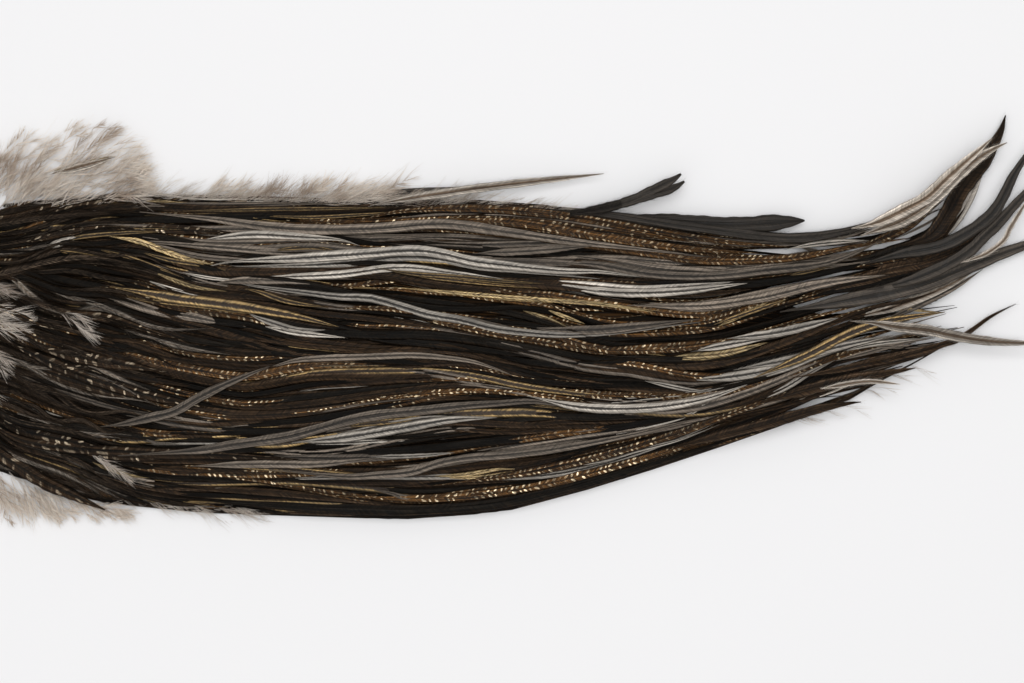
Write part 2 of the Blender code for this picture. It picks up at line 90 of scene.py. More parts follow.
# The feathers that have a solid of their own: its name, the kind, the width of both vanes and the
# route of the quill from root to tip.
FEATHERS = [
    ("black_webbed_feather_upper", "webbed", 8.0, [(-158, 24), (-138, 28.5), (-120, 31), (-101, 32.5)]),
    ("black_webbed_feather_middle", "webbed", 9.0, [(-152, 9), (-132, 15), (-114, 18.5), (-95, 16.5)]),
    ("black_webbed_feather_lower", "webbed", 6.5, [(-152, -12), (-132, -19.5), (-114, -27), (-92, -31.5)]),
    ("dark_blunt_feather", "slate", 6.0, [(46, 30.5), (66, 29.6), (84, 28.8), (103.8, 30)]),
    ("barred_feather_1", "barred", 3.8, [
        (-34.5, 28.5), (-18, 32.6), (6, 33.4), (30, 31.6), (54, 27.6), (78, 23.8), (99, 21.9)
    ]),
    ("barred_feather_2", "barred", 3.8, [(-9, 30.5), (18, 29), (42, 24.9), (66, 21.6), (90, 20)]),
    ("barred_feather_3", "barred", 3.8, [
        (3, 25.8), (30, 23.6), (54, 20.2), (75, 17.6), (99, 18.6), (120, 22.4), (135, 24.6)
    ]),
    ("black_ridge_feather", "slate", 4.4, [
        (25.5, 33.4), (45, 31.6), (69, 28), (87, 25.6), (102, 24.7), (117, 27), (127.5, 30.6),
        (134.4, 35.1)
    ]),
    ("black_upturned_feather", "slate", 6.0, [
        (33, 31.8), (43.5, 33.6), (51.6, 36), (57.9, 39), (63.3, 41.7), (66.3, 43.8)
    ]),
    ("taupe_flyaway_feather", "laced", 4.2, [
        (-27, 34.4), (-8, 37.6), (12, 40.4), (30, 42.6), (43.2, 44.1)
    ]),
    ("grey_feather_1", "grey", 4.2, [
        (-96, 32.4), (-75, 30.3), (-51, 27.3), (-27, 27.3), (-6, 28.8), (12, 26.7), (30, 24), (48, 21.9),
        (67.5, 19.8)
    ]),
    ("grey_feather_2", "grey", 4.2, [
        (18, 17.4), (39, 16.8), (57, 13.8), (75, 13.2), (93, 15), (111, 17.4), (126.6, 23.7)
    ]),
    ("grey_feather_3", "silver", 3.6, [(28, 10.2), (48, 8.2), (66, 8.6), (86, 11)]),
    ("grey_feather_4", "grey", 4.2, [(50, 4.4), (72, 4.2), (90, 6.6), (108, 10.8), (127.5, 13.5)]),
    ("silver_feather_low", "silver", 3.2, [(-62, 12.6), (-38, 13.4), (-18, 15.6), (-2, 14), (13, 12.2)]),
    ("silver_feather_long", "silver", 4.2, [
        (-76.2, 15.6), (-67.5, 17.4), (-49.8, 18.3), (-32.1, 19.5), (-14.4, 20.7), (-5.7, 19.8), (3, 17.7),
        (12, 16.5), (30, 14.7), (42, 14.4), (54, 12.9)
    ]),
    ("grey_feather_short_tip", "grey", 3.0, [(4, 19.8), (21, 20.6), (39.6, 22.2)]),
    ("straw_feather_upper", "straw", 2.21, [
        (-104.4, 24.9), (-95.7, 23.4), (-88.5, 20.7), (-81.6, 18.3), (-73.5, 16.5)
    ]),
    ("gold_laced_feather", "gold", 4.2, [
        (-104.1, 9.9), (-93.9, 8.1), (-84, 6.3), (-73.5, 5.1), (-63, 3.6), (-48, 0.9), (-36, -2.1)
    ]),
    ("gold_thin_feather", "gold", 1.8, [
        (-25.2, 15.6), (-14.4, 13.8), (-1.2, 12.9), (12, 11.7), (25.2, 10.8)
    ]),
    ("straw_feather_middle", "straw", 1.68, [(-20, 9.8), (3, 7.7), (24, 6.1), (42, 4.6), (58.5, 2.2)]),
    ("spotted_feather_low", "spotted", 5.6, [
        (-149, -30), (-138, -40), (-126, -48), (-114, -53.6), (-106.5, -57)
    ]),
    ("spotted_feather_long", "spotted", 4.4, [
        (-146, -27), (-132, -35.5), (-114, -38.4), (-93, -39.6), (-72, -40.4), (-48, -41.6)
    ]),
    ("spotted_feather_middle", "spotted", 4.8, [
        (-136, -6), (-120, -13.4), (-108, -18), (-93, -22.4), (-75, -26)
    ]),
    ("brown_webbed_feather", "webbed", 6.8, [(-134, 8), (-117, 2.4), (-103.5, -0.6), (-90.6, -4.5)]),
    ("low_grey_feather", "grey", 3.0, [(-80, -43.6), (-60, -43), (-42, -43), (-24, -41.2)]),
    ("arched_grey_feather", "grey", 4.2, [
        (-102, -40.5), (-87, -39.6), (-76.2, -38.7), (-67.5, -37.2), (-58.5, -36), (-49.8, -34.5),
        (-41.1, -32.1), (-32.1, -29.7), (-23.4, -28.2), (-14.4, -27.3), (-5.7, -26.4), (3.3, -25.5),
        (12, -24.9), (21, -24.3), (30, -25.5), (39, -26.7)
    ]),
    ("arched_thin_feather", "grey", 2.6, [
        (-60.6, -15.6), (-49.8, -12.3), (-40.8, -11.4), (-32.1, -11.1), (-23.4, -10.8), (-14.4, -10.5),
        (-5.7, -11.1), (3.3, -12.3), (10.2, -14.4), (15.6, -16.5)
    ]),
    ("crossing_grey_feather", "grey", 3.8, [
        (-106.8, -31.8), (-99.9, -30.9), (-92.1, -29.1), (-84.9, -27.3), (-78, -23.4), (-70.8, -19.8),
        (-63.9, -16.8), (-56.4, -13.8)
    ]),
    ("silver_feather_lower", "silver", 4.0, [
        (-50, -36.6), (-34.5, -35.1), (-18, -32.4), (-3, -29.8), (11.1, -29.1)
    ]),
    ("white_tip_feather", "silver", 1.8, [(-27, -40.9), (-12, -40.5), (-1.5, -39.6)]),
    ("black_lower_edge_feather", "black", 4.6, [
        (-87, -53), (-63, -55.2), (-36, -56.6), (-12, -57), (12, -55), (36, -49.6), (60, -42.6), (84, -35)
    ]),
    ("barred_feather_lower_1", "barred", 3.6, [
        (-39, -52.6), (-18, -53.6), (3, -52.8), (24, -49.6), (48, -43.6), (72, -36.4), (93, -29)
    ]),
    ("sweeping_grey_feather", "grey", 3.2, [
        (-57, -44.7), (-49.8, -45.3), (-40.8, -46.2), (-32.1, -46.8), (-23.4, -46.2), (-14.4, -45.3),
        (-5.7, -42.6), (3.3, -41.1), (12, -40.5), (21, -39.6), (30, -38.4), (51, -34.5), (72, -29.4)
    ]),
    ("barred_feather_lower_2", "barred", 3.6, [
        (-8, -49.6), (8, -47.6), (24, -45), (45, -40), (66, -33.6), (87, -26), (104, -19.4)
    ]),
    ("brown_low_tip_feather", "brown", 4.6, [
        (62.4, -38.7), (73.5, -35.7), (84, -33), (92.4, -30.9), (100.8, -28.5), (108.9, -26.4),
        (117.3, -24.9), (120.3, -24.6)
    ]),
    ("brown_frayed_feather", "brown", 4.2, [(90, -25), (104, -21), (118, -17.6), (136.2, -14.4)]),
    ("small_curved_feather", "laced", 1.9, [(108, -20.6), (121.5, -18.4), (131.4, -19.2)]),
    ("thin_brown_feather", "brown", 2.6, [
        (99, -17.4), (108, -15.9), (117.3, -14.1), (128.4, -11.7), (139.5, -9), (145.2, -7.2), (149.1, -6),
        (153.9, -3), (159, 0.6), (164.1, 3.3), (167.4, 4.8)
    ]),
    ("pale_middle_feather", "silver", 3.8, [(20, -22.6), (36, -26), (54, -26.4), (72, -24), (86, -19.4)]),
    ("pale_rising_feather", "silver", 3.2, [(82, -15), (98, -12), (114, -8), (130, -4.6)]),
    ("straw_feather_right", "straw", 2.8, [(62, -11.2), (78, -10.2), (92, -6.8)]),
    ("pale_short_feather", "silver", 3.0, [(80, -5.6), (96, -3.6), (113.4, 0.6)]),
    ("gold_rising_feather", "gold", 1.8, [(76, -1.4), (87, 2.4), (98, 6.2)]),
    ("gold_laced_right_feather", "gold", 3.6, [
        (88, -17.4), (104, -10.6), (117, -4), (129, -0.2), (145.5, 2.4)
    ]),
    ("pale_outer_feather", "laced", 3.8, [
        (117, -0.3), (124.2, -0.9), (131.1, -2.1), (139.5, -3), (145.2, -4.2), (153.3, -5.7), (161.7, -6.6),
        (169.2, -6.9), (175.8, -6.9)
    ]),
    ("dark_wide_feather", "dusk", 6.0, [
        (96, 2.4), (117, 6), (138, 10.5), (154.5, 16.8), (169.2, 22.2), (184, 27)
    ]),
    ("fan_feather_lower", "dusk", 4.6, [
        (122.1, 9), (133.5, 11.4), (144, 15.6), (152.4, 20.4), (157.5, 25.2), (162, 29.4), (166.5, 34.2),
        (172.5, 40.8), (177.6, 47.4)
    ]),
    ("fan_feather_thin", "laced", 1.9, [
        (150, 17.1), (157.5, 19.8), (162.9, 23.7), (165, 27.6), (167.4, 31.5), (171.6, 38.4)
    ]),
    ("fan_feather_middle", "dusk", 4.8, [
        (120, 16.5), (132, 19.8), (144, 22.2), (151.5, 25.8), (159, 31.2), (162.9, 36.9), (166.2, 43.5),
        (171, 51), (174, 56.4)
    ]),
    ("fan_feather_dark", "brown", 6.72, [
        (132, 22.2), (141, 25.2), (146.1, 31.8), (149.7, 38.1), (153, 42.6), (156.3, 46.2), (159.6, 51),
        (162.9, 57), (164.4, 61.8)
    ]),
    ("fan_feather_pale", "laced", 5.4, [
        (120, 25.2), (128.4, 28.2), (134.1, 30.9), (139.5, 34.5), (145.2, 39.9), (150.6, 45), (156.3, 49.2),
        (160.5, 51.6), (163.8, 53.1)
    ]),
    ("fan_feather_top", "laced", 4.86, [
        (117, 27.3), (124.5, 29.1), (133.5, 33.3), (139.5, 36.6), (145.2, 42), (150.6, 46.8), (155.1, 50.7),
        (159, 54.3)
    ]),
]

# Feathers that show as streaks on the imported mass: kind, width and route.
STREAKS = [
    ("silver", 1.5, [
        (-120, 35.4), (-108, 37.5), (-99, 38.1), (-90, 37.5), (-78, 36), (-57, 36.3), (-36, 36.6)
    ]),
    ("gold", 1.6, [(-123, 26.1), (-109.5, 27), (-102, 27.6), (-90, 27.6), (-69, 26.4)]),
    ("gold", 1.5, [(-126, 22.2), (-120, 23.1), (-112.5, 24.9), (-99, 26.1), (-87, 26.4)]),
    ("gold", 1.5, [(-97.5, 21), (-87, 18), (-78, 16.5), (-67.5, 14.4)]),
    ("gold", 1.4, [(-123, 21.3), (-118.5, 20.4), (-109.5, 18.9), (-100.5, 17.1)]),
    ("barred", 2.5, [(-138, 25.5), (-132, 26.1), (-126, 28.5), (-115.5, 32.1)]),
    ("spotted", 3.0, [(-102, 27.6), (-90, 27.3), (-78, 26.7), (-67.5, 26.1)]),
    ("gold", 1.4, [(-103.5, 8.7), (-99, 6.9), (-93, 5.7), (-78, 4.2), (-66, 2.4), (-54, 1.5)]),
    ("straw", 1.3, [(-93, 15), (-85.5, 12), (-78, 9.6), (-69, 8.4)]),
    ("gold", 1.6, [(-66, 9.6), (-60, 8.4), (-51, 5.4), (-39, 3.6)]),
    ("silver", 2.6, [(-81, 23.1), (-69, 24.9), (-60, 25.5), (-48, 24.9), (-36, 24), (-30, 22.2)]),
    ("gold", 1.5, [(-57, 20.4), (-51, 21.3), (-43.5, 21.6), (-34.5, 20.1)]),
    ("silver", 3.0, [
        (-72, 15.9), (-48, 16.2), (-30, 17.4), (-18, 18.9), (-6, 18.3), (6, 15.9), (18, 14.7), (30, 13.5),
        (42, 12.3)
    ]),
    ("grey", 2.4, [(-75, 10.5), (-66, 11.7), (-54, 11.7), (-42, 10.5)]),
    ("silver", 2.7, [
        (-78, 10.8), (-69, 11.4), (-60, 9.9), (-48, 8.4), (-36, 6.9), (-27, 6.6), (-18, 4.2), (-9, 1.5),
        (0, 0), (9, -2.4), (18, -3.6), (30, -4.5), (42, -4.2), (54, -3), (72, -0.6)
    ]),
    ("silver", 2.0, [(-64.5, 3), (-60, 0.6), (-54, -1.5), (-48, -3), (-39, -3)]),
    ("silver", 1.8, [(-60, -1.5), (-48, -3.9), (-33, -5.4)]),
    ("silver", 1.8, [(-42, -35.1), (-30, -33), (-18, -30.6), (-6, -29.1), (9, -29.4)]),
    ("grey", 2.6, [(-60, -40.5), (-48, -41.1), (-36, -41.4), (-25.5, -41.1), (-12, -40.5), (-3.9, -39.9)]),
    ("gold", 2.0, [(-36, -32.4), (-27, -30.9), (-18, -30), (-9, -28.8)]),
    ("grey", 2.4, [(-15, -45.6), (-9, -44.1), (-3, -42.3), (6, -40.8), (15, -39.9), (24, -39)]),
    ("straw", 1.3, [(-9, -46.8), (0, -46.5), (6, -45.6), (12, -44.7), (18, -44.7)]),
    ("straw", 1.3, [(-6, -47.4), (6, -47.1), (15, -45.9), (24, -44.4)]),
    ("gold", 2.0, [(-78, -42), (-66, -43.8), (-54, -44.4), (-42, -45.6), (-30, -46.5), (-12, -45.9)]),
    ("grey", 2.0, [(-28.5, -50.4), (-21, -51.9), (-15, -53.4), (0, -53.4), (12, -54)]),
    ("barred", 2.6, [(-27, -56.1), (-18, -56.4), (-9, -56.1), (0, -54.9)]),
    ("barred", 2.6, [(-9, -52.5), (6, -51.3), (24, -49.8), (42, -45)]),
    ("straw", 1.2, [(-111, -42), (-106.5, -44.1), (-99, -46.5), (-93, -47.4)]),
    ("spotted", 4.2, [
        (-129, -7.8), (-120, -9.6), (-111, -11.4), (-105, -12.6), (-99, -13.5), (-87, -15.6)
    ]),
    ("spotted", 4.2, [(-129, -13.5), (-117, -17.4), (-109.5, -19.5), (-102, -21.9), (-93, -24)]),
    ("spotted", 4.4, [(-126, -36.9), (-111, -39), (-96, -40.5), (-78, -39.9)]),
    ("gold", 1.2, [(-22.5, 16.2), (-12, 13.2), (0, 11.7), (15, 10.2), (27, 9.3)]),
    ("straw", 1.4, [(6, 6.3), (18, 6), (30, 5.7), (42, 4.8), (54, 3.3), (60, 2.7)]),
    ("straw", 1.4, [(18, 3), (21, 2.1), (27, 0), (33, -2.4)]),
    ("straw", 1.2, [(25.5, 3.3), (30, 1.5), (37.5, -1.2)]),
    ("straw", 1.5, [(76.5, -2.4), (82.5, 0.6), (88.5, 3.6), (93, 5.7)]),
    ("straw", 1.6, [(63, -12.3), (67.5, -11.7), (75, -11.1), (84, -9), (91.5, -6.9)]),
    ("silver", 2.4, [(69, -9.6), (78, -7.8), (93, -5.4)]),
    ("grey", 3.6, [
        (24, 18.9), (36, 18.9), (48, 17.1), (60, 15), (72, 14.1), (78, 13.5), (90, 15), (102, 17.4),
        (114, 19.5), (120, 21), (126, 23.4)
    ]),
    ("silver", 3.0, [(18, 12), (30, 11.1), (42, 9.9), (54, 9), (66, 9.9), (84, 11.7)]),
    ("grey", 3.6, [(48, 6), (66, 3.9), (78, 4.8), (90, 7.2), (102, 9.9), (114, 12.3), (127.5, 13.5)]),
    ("grey", 3.0, [(18, -2.1), (30, -3), (42, -3), (54, -1.8), (72, 0.3)]),
    ("silver", 3.0, [(66, -18), (78, -17.4), (90, -15.6), (102, -12.6), (111, -9.6)]),
    ("silver", 1.4, [(54, -18), (60, -19.2), (69, -21), (76.5, -21.6)]),
    ("grey", 3.0, [(45, -25.2), (57, -25.8), (66, -24.9), (78, -21.9), (85.5, -19.8)]),
    ("silver", 1.3, [(42, -35.4), (54, -32.4), (66, -29.4), (72, -26.4), (77.1, -21)]),
    ("silver", 1.3, [(24, -45), (42, -42.3), (54, -39), (66, -36), (78, -31.5)]),
    ("grey", 1.2, [(120, -7.5), (132, -8.1), (141, -7.5), (148.5, -6)]),
    ("grey", 1.2, [(117, -13.5), (129, -11.4), (139.5, -9), (149.1, -6.3)]),
    ("brown", 1.6, [(123, -14.4), (133.5, -12), (142.5, -9), (149.4, -6.3)]),
    ("grey", 2.4, [(126, -0.6), (133.5, 2.4), (141, 6), (150, 10.5), (157.5, 15.3)]),
    ("brown", 2.6, [(132, 17.4), (139.5, 21), (145.5, 26.4), (150.6, 32.4), (154.5, 37.2)]),
    ("brown", 1.0, [(-117, 36.0), (-108, 37.6), (-99, 38.4), (-88, 37.6), (-78, 36)]),
    ("straw", 1.0, [(-114, 36.3), (-104, 37), (-96, 36.4), (-84, 35.2), (-72, 35)]),
    ("silver", 2.4, [(-125, 21.3), (-119, 23.1), (-112.5, 25.2)]),
    ("laced", 2.6, [(-124, 43.8), (-117, 45.6), (-110, 47.4), (-104, 49.2)]),
    ("barred", 3.2, [(-6, 33.2), (12, 33.8), (36, 31.8), (54, 29.2), (72, 25.8)]),
    ("barred", 3.2, [(0, 31.4), (18, 31.2), (36, 29), (54, 26), (72, 23.2)]),
    ("barred", 3.2, [(9, 28.4), (27, 26.8), (45, 24.4), (63, 21.6), (81, 20.2)]),
    ("barred", 3.0, [(-14, 30.2), (4, 30.4), (24, 29), (45, 26.4), (63, 24)]),
    ("slate", 2.4, [(-36, 36.4), (-24, 37.8), (-12, 39), (2, 40.4)]),
    ("straw", 0.8, [(-124, 44.4), (-117, 46.4), (-110, 48.2), (-104, 49.5)]),
    ("grey", 1.6, [(-104, 33.4), (-88, 34.6), (-70, 34.6), (-52, 35), (-34, 35.2)]),
    ("gold", 1.2, [(-88, 32.6), (-70, 33), (-52, 33.4), (-34, 33.6), (-16, 34.2)]),
    ("gold", 1.2, [(-64, 31.6), (-46, 30.8), (-30, 31.6), (-12, 33)]),
    ("silver", 1.2, [(-96, 12.6), (-86, 9.4), (-76, 7), (-66, 5)]),
    ("silver", 1.0, [(-84, 14.4), (-74, 12.4), (-63, 11.6)]),
    ("gold", 1.3, [(-110, 21.6), (-100, 19), (-90, 15.6), (-82, 12.4)]),
    ("fawn", 4.4, [(-120, 0.0), (-113, 2.6), (-106, 3.3), (-96.6, 0), (-90, -3)]),
    ("fawn", 4.0, [(-138, 13.4), (-133, 12), (-127.5, 7.2), (-120, 2.8)]),
    ("fawn", 5.0, [(-134, -41), (-127, -42.8), (-120, -45), (-113, -49), (-108, -53)]),
    ("fawn", 3.6, [(-116, -46), (-109, -49.6), (-101, -53.4), (-92.4, -56)]),
    ("fawn", 3.0, [(-122, -8.4), (-112, -12.4), (-102, -17), (-92, -21)]),
    ("fawn", 3.0, [(-102, -2), (-92, -5.4), (-80, -8.6), (-68, -10.4)]),
    ("barred", 3.0, [(117.6, 21.6), (127.5, 24.6), (135.6, 28.8), (141.6, 33.3), (145.8, 36.3)]),
    ("grey", 0.8, [(130.8, 24.3), (136.5, 27), (142.5, 30.3), (147.9, 35.1)]),
    ("black", 0.8, [(132.9, 23.7), (139.5, 26.4), (144.3, 29.7)]),
    ("grey", 0.7, [(129, 25.2), (135.6, 28.2), (141, 31.8), (145.2, 34.2)]),
    ("black", 5.6, [
        (115.8, 17.4), (127.5, 19.2), (137.4, 22.2), (143.4, 27.3), (147, 33.9), (149.1, 38.4)
    ]),
    ("brown", 4.6, [
        (120.6, 15.6), (132.6, 18.3), (141.6, 22.2), (146.4, 27.6), (150, 34.5), (152.4, 40.2)
    ]),
    ("pale", 2.8, [(143.4, 23.1), (147.6, 27), (150.9, 32.1), (153.9, 37.8), (156.9, 44.7), (159, 49.8)]),
    ("barred", 4.6, [
        (115.8, 15), (129, 18.3), (139.5, 21), (148.5, 23.7), (155.4, 27), (159.6, 31.8), (163.2, 38.4)
    ]),
    ("brown", 4.2, [
        (114, 11.4), (127.5, 15), (139.5, 17.7), (149.4, 21.3), (156.6, 25.8), (162, 32.4), (165, 38.4)
    ]),
    ("silver", 1.2, [(131.4, 16.8), (137.4, 18.9), (143.1, 20.4)]),
    ("gold", 1.5, [(116.4, 10.8), (127.5, 12.9), (138, 15.3), (145.8, 18.3)]),
    ("silver", 1.8, [(101.4, 8.1), (111, 10.8), (120, 12.3), (127.5, 13.5)]),
    ("silver", 1.7, [(97.8, 21.3), (106.5, 22.8), (115.5, 23.7), (123.6, 24)]),
    ("grey", 2.6, [(97.8, 23.1), (108, 24.6), (117, 25.8), (124.2, 27.6)]),
    ("black", 3.4, [(102, 6), (117, 9.9), (132, 12.3), (144, 16.2), (152.4, 20.4)]),
    ("brown", 3.6, [(103.8, 7.2), (117, 11.1), (130.5, 14.4), (142.5, 17.4), (150.6, 21)]),
    ("laced", 3.0, [(115.8, 0), (127.5, 3), (136.5, 6), (144, 9), (150.6, 12.3), (157.8, 17.1)]),
    ("brown", 3.0, [(109.8, -1.8), (121.8, 2.4), (132, 4.5), (139.5, 6.9), (147, 9.9)]),
    ("silver", 1.5, [(113.4, -9.9), (123, -7.5), (132, -6.3), (141.6, -5.4)]),
    ("grey", 1.5, [(110.4, -12.9), (123, -9.6), (133.5, -6.9), (143.1, -5.4)]),
    ("black", 1.6, [(116.4, -13.5), (127.5, -10.8), (136.5, -8.1), (145.8, -6)]),
    ("grey", 1.7, [(119.4, -14.1), (130.5, -11.4), (139.5, -9), (147.9, -6.3)]),
    ("brown", 2.6, [(111, -15.6), (123.6, -12.6), (135, -9.9), (145.2, -6.6)]),
    ("silver", 3.0, [(86.4, -18.9), (97.5, -14.4), (108, -9.9), (118.5, -6.9), (128.4, -5.1)]),
    ("silver", 2.0, [(87.9, -24.9), (97.5, -20.4), (105, -15.9), (112.8, -12)]),
    ("laced", 2.4, [(99, -24.6), (109.5, -21.6), (116.4, -19.2), (123.6, -18)]),
    ("black", 3.2, [(96, -23.4), (108, -18), (120, -14.4), (129.9, -12)]),
    ("brown", 3.0, [(93, -27.6), (105, -22.8), (115.8, -18.6), (126, -15.3)]),
    ("grey", 1.4, [(96, 18.6), (103.8, 19.2), (112.2, 19.5), (118.2, 20.4)]),
    ("grey", 1.0, [(102, 21.9), (108, 20.7), (111.6, 19.8)]),
    ("gold", 1.2, [(97.8, 13.2), (105, 14.7), (112.2, 16.2)]),
    ("straw", 0.9, [(127.2, 2.4), (133.5, 3.3), (139.8, 2.7), (145.2, 2.4)]),
]

# Single feathers that cross the others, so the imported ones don't follow them.
AGAINST_THE_FLOW = ("crossing_grey_feather", "taupe_flyaway_feather", "black_upturned_feather")

# Single feathers with a blunt end: the shares of the width at the root and the tip, and where the tip starts.
SLENDER_VANE = {"root": 0.08, "tip": 0.05, "taper": 0.55}
BLUNT_VANES = {
    "black_upturned_feather": {"root": 0.5, "tip": 0.20, "taper": 0.80},
    "dark_blunt_feather": {"root": 0.5, "tip": 0.07, "taper": 0.80},
}

# Single feathers stand free of the mass, with loose barbs, where they end past this x or are one of these.
FREE_TIPS_X = 120
FREE_FEATHERS = ("taupe_flyaway_feather", "black_upturned_feather")

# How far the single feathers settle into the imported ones: a share of their solid's height over the bed.
SETTLING = 0.45

# How barbs stand on a vane: the share of the width that is closed vane, where along it the free barbs start,
# the gap between them, their length and their thickness in millimetres, and how far they spread up and down.
# Closeness is a share of the panel's own gap.
BARB_FORMS = {
    "webby": (0.3, {"start": 0.02, "gap": 0.13, "length": 5.6, "lift": 0.5}),
    "fluffy": (0.5, {"start": 0.02, "gap": 0.22, "length": 5.0, "lift": 0.4}),
    "loose": (0.8, {"start": 0.02, "gap": 0.22, "length": 2.6, "thick": 0.04}),
    "tight": (1, {"start": 0.03, "closeness": 0.55}),
    "streak": (1, {"start": 0.1}),
    "packed": (1, {"start": 0.72, "gap": 2.5}),
    "short": (1, {"start": 0.02, "gap": 0.47, "length": 4.6, "lift": 0.45}),
}

# The tufts of down: the solid's name, its height, the square millimetres for each plume, the way the plumes
# lie at both ends in degrees from +X, the line that they grow from and the line that they reach.
DOWN_TUFTS = [
    ("down_butt_upper", 6.0, 9, (82, 6),
     [(-167, 28), (-158, 32), (-146, 36), (-130, 37.5), (-112, 37.8), (-98, 38.2)],
     [(-178, 34), (-168, 45), (-154, 52), (-138, 57.5), (-123, 62), (-104, 61.6), (-95, 50), (-93.5, 42)]),
    ("down_butt_lower", 5.0, 7, (-18, -82),
     [(-104, -57), (-114, -54.5), (-126, -51.5), (-140, -47), (-154, -40.5), (-166, -35)],
     [(-97, -60), (-112, -60.6), (-120, -61), (-128, -62.8), (-142, -61.4), (-158, -54), (-170, -47),
      (-178, -39)]),
    ("down_edge_upper_near", 2.6, 13, (34, 12),
     [(-80, 38.4), (-68, 38.2), (-58, 38)],
     [(-86, 42.5), (-72, 43.6), (-60, 44.4), (-53, 42.2)]),
    ("down_edge_upper_far", 2.8, 13, (30, 10),
     [(-49, 38), (-38, 37.7), (-24, 37.4)],
     [(-51, 40.4), (-43, 44), (-30, 47.8), (-14, 46.4), (-6, 43.6)]),
    ("down_butt_end", 5.0, 6, (200, 160),
     [(-177.5, -30), (-177, -20), (-177, -4), (-177, 12), (-177, 24)],
     [(-181, -35), (-183, -22), (-184, -4), (-183, 14), (-180, 29)]),
]

# Where each kind of feather shows: a middle (x, y), a reach along and across, and the shares of black,
# grey, silver, gold, barred and brown feathers there.
KINDS = ("black", "grey", "silver", "gold", "barred", "brown")
PATCHES = [
    ((-70, 34), (110, 4), (6, 1, 0.5, 3, 2, 2)),
    ((-14, 20), (62, 11), (1.5, 6, 2, 1, 0.5, 2.5)),
    ((70, 26), (70, 7), (3, 0.3, 0, 0.5, 8, 3)),
    ((-30, -2), (75, 9), (9, 0.4, 0.2, 0.5, 1, 4)),
    ((-60, -16), (50, 8), (8, 0.3, 0, 2, 2, 4)),
    ((10, -16), (70, 7), (7, 0.4, 0, 0.5, 3, 5)),
    ((-20, -34), (80, 7), (5, 3, 1.3, 2.5, 1, 3)),
    ((-30, -52), (80, 6), (9, 0.5, 0, 2, 1.5, 3)),
    ((70, 12), (55, 7), (5, 4, 0.7, 0.7, 2.5, 4)),
    ((60, -8), (55, 8), (5, 0.3, 0.1, 0.8, 5, 4)),
    ((70, -24), (50, 6), (5, 1, 0.2, 1, 4, 4)),
    ((70, -38), (60, 7), (6, 0.8, 0, 0.5, 3.5, 5)),
    ((135, 10), (35, 22), (5, 1, 0, 0.3, 1, 7)),
    ((-120, 0), (30, 40), (9, 0, 0, 0.5, 2, 4)),
]

# Soft plumes that show among the feathers at the root end: from, to and height over the mass.
LOOSE_PLUMES = [
    ((-142, 1.5), (-130, -2.4), 1.0), ((-140, -0.5), (-127, -3.6), 1.2), ((-141, -2.4), (-129, -6), 0.8),
    ((-139, 0.6), (-126, -0.9), 1.4), ((-143, 11.4), (-132, 8.1), 0.9), ((-141, 8.7), (-130, 6.6), 0.7),
    ((-142, -9), (-134.5, -16.5), 0.8), ((-140, -8), (-133, -13), 1.0), ((-116, 0.9), (-106.5, -5.1), 1.2),
    ((-119, 2.1), (-109.5, -3.6), 1.0), ((-144, 5), (-134, 3), 0.6), ((-145, -18), (-137, -24), 0.7),
    ((-112, -38.5), (-103, -44), 1.0), ((-107, -42), (-98, -48.5), 0.8),
]

# Low wisps of down along a side: from x, to x, how many and their lean in degrees.
WISPS = [
    ("upper", -99, -62, 74, 24), ("upper", -62, -48, 34, 40), ("upper", -48, -16, 30, 26),
    ("upper", -18, 3, 44, 30), ("upper", 3, 27, 22, 12),
    ("lower", -104, -66, 40, 20), ("upper", 104, 140, 8, 16), ("lower", 96, 150, 8, 14),
]

# A feather's section, as (across, rise) in half widths: over the top from edge to edge, then back under.
# The vanes are folded up a little, so the quill lies in a groove between two ridges.
FINE_RING = (
    (-1, -0.02), (-0.80, 0.13), (-0.50, 0.20), (-0.20, 0.11), (0, 0.00), (0.20, 0.11),
    (0.50, 0.20), (0.80, 0.13), (1, -0.02), (0.50, -0.03), (0, -0.06), (-0.50, -0.03),
)
PLAIN_RING = ((-1, -0.02), (-0.52, 0.21), (0, 0.01), (0.52, 0.21), (1, -0.02), (0, -0.08))
FIBRE_RING = ((-1, -0.6), (0, 1.1), (1, -0.6))
NO_QUADS = np.zeros((0, 4), int)
NO_TRIANGLES = np.zeros((0, 3), int)

# Colours mixed from those of the panel, as the share of each.
MIXED = {
    # dark_grey is the centre stripe of the grey and silver feathers: partly their quill's own colour, partly
    # painted shade of its groove.
    "dark_grey": {"grey": 0.16},
    "pale_grey": {"grey": 1.4},
    "slate": {"grey": 0.17},
    "dusk": {"grey": 0.30},
    "dark_brown": {"brown": 0.26, "grey": 0.045},
    "rich_brown": {"brown": 0.95},
    "webby_brown": {"brown": 0.14, "grey": 0.15},
    "taupe": {"grey": 0.35, "brown": 0.65},
    "light_taupe": {"grey": 0.6, "silver": 0.4},
    "pale_taupe": {"silver": 0.5, "down": 0.5},
    "fawn": {"grey": 0.42, "silver": 0.16},
}
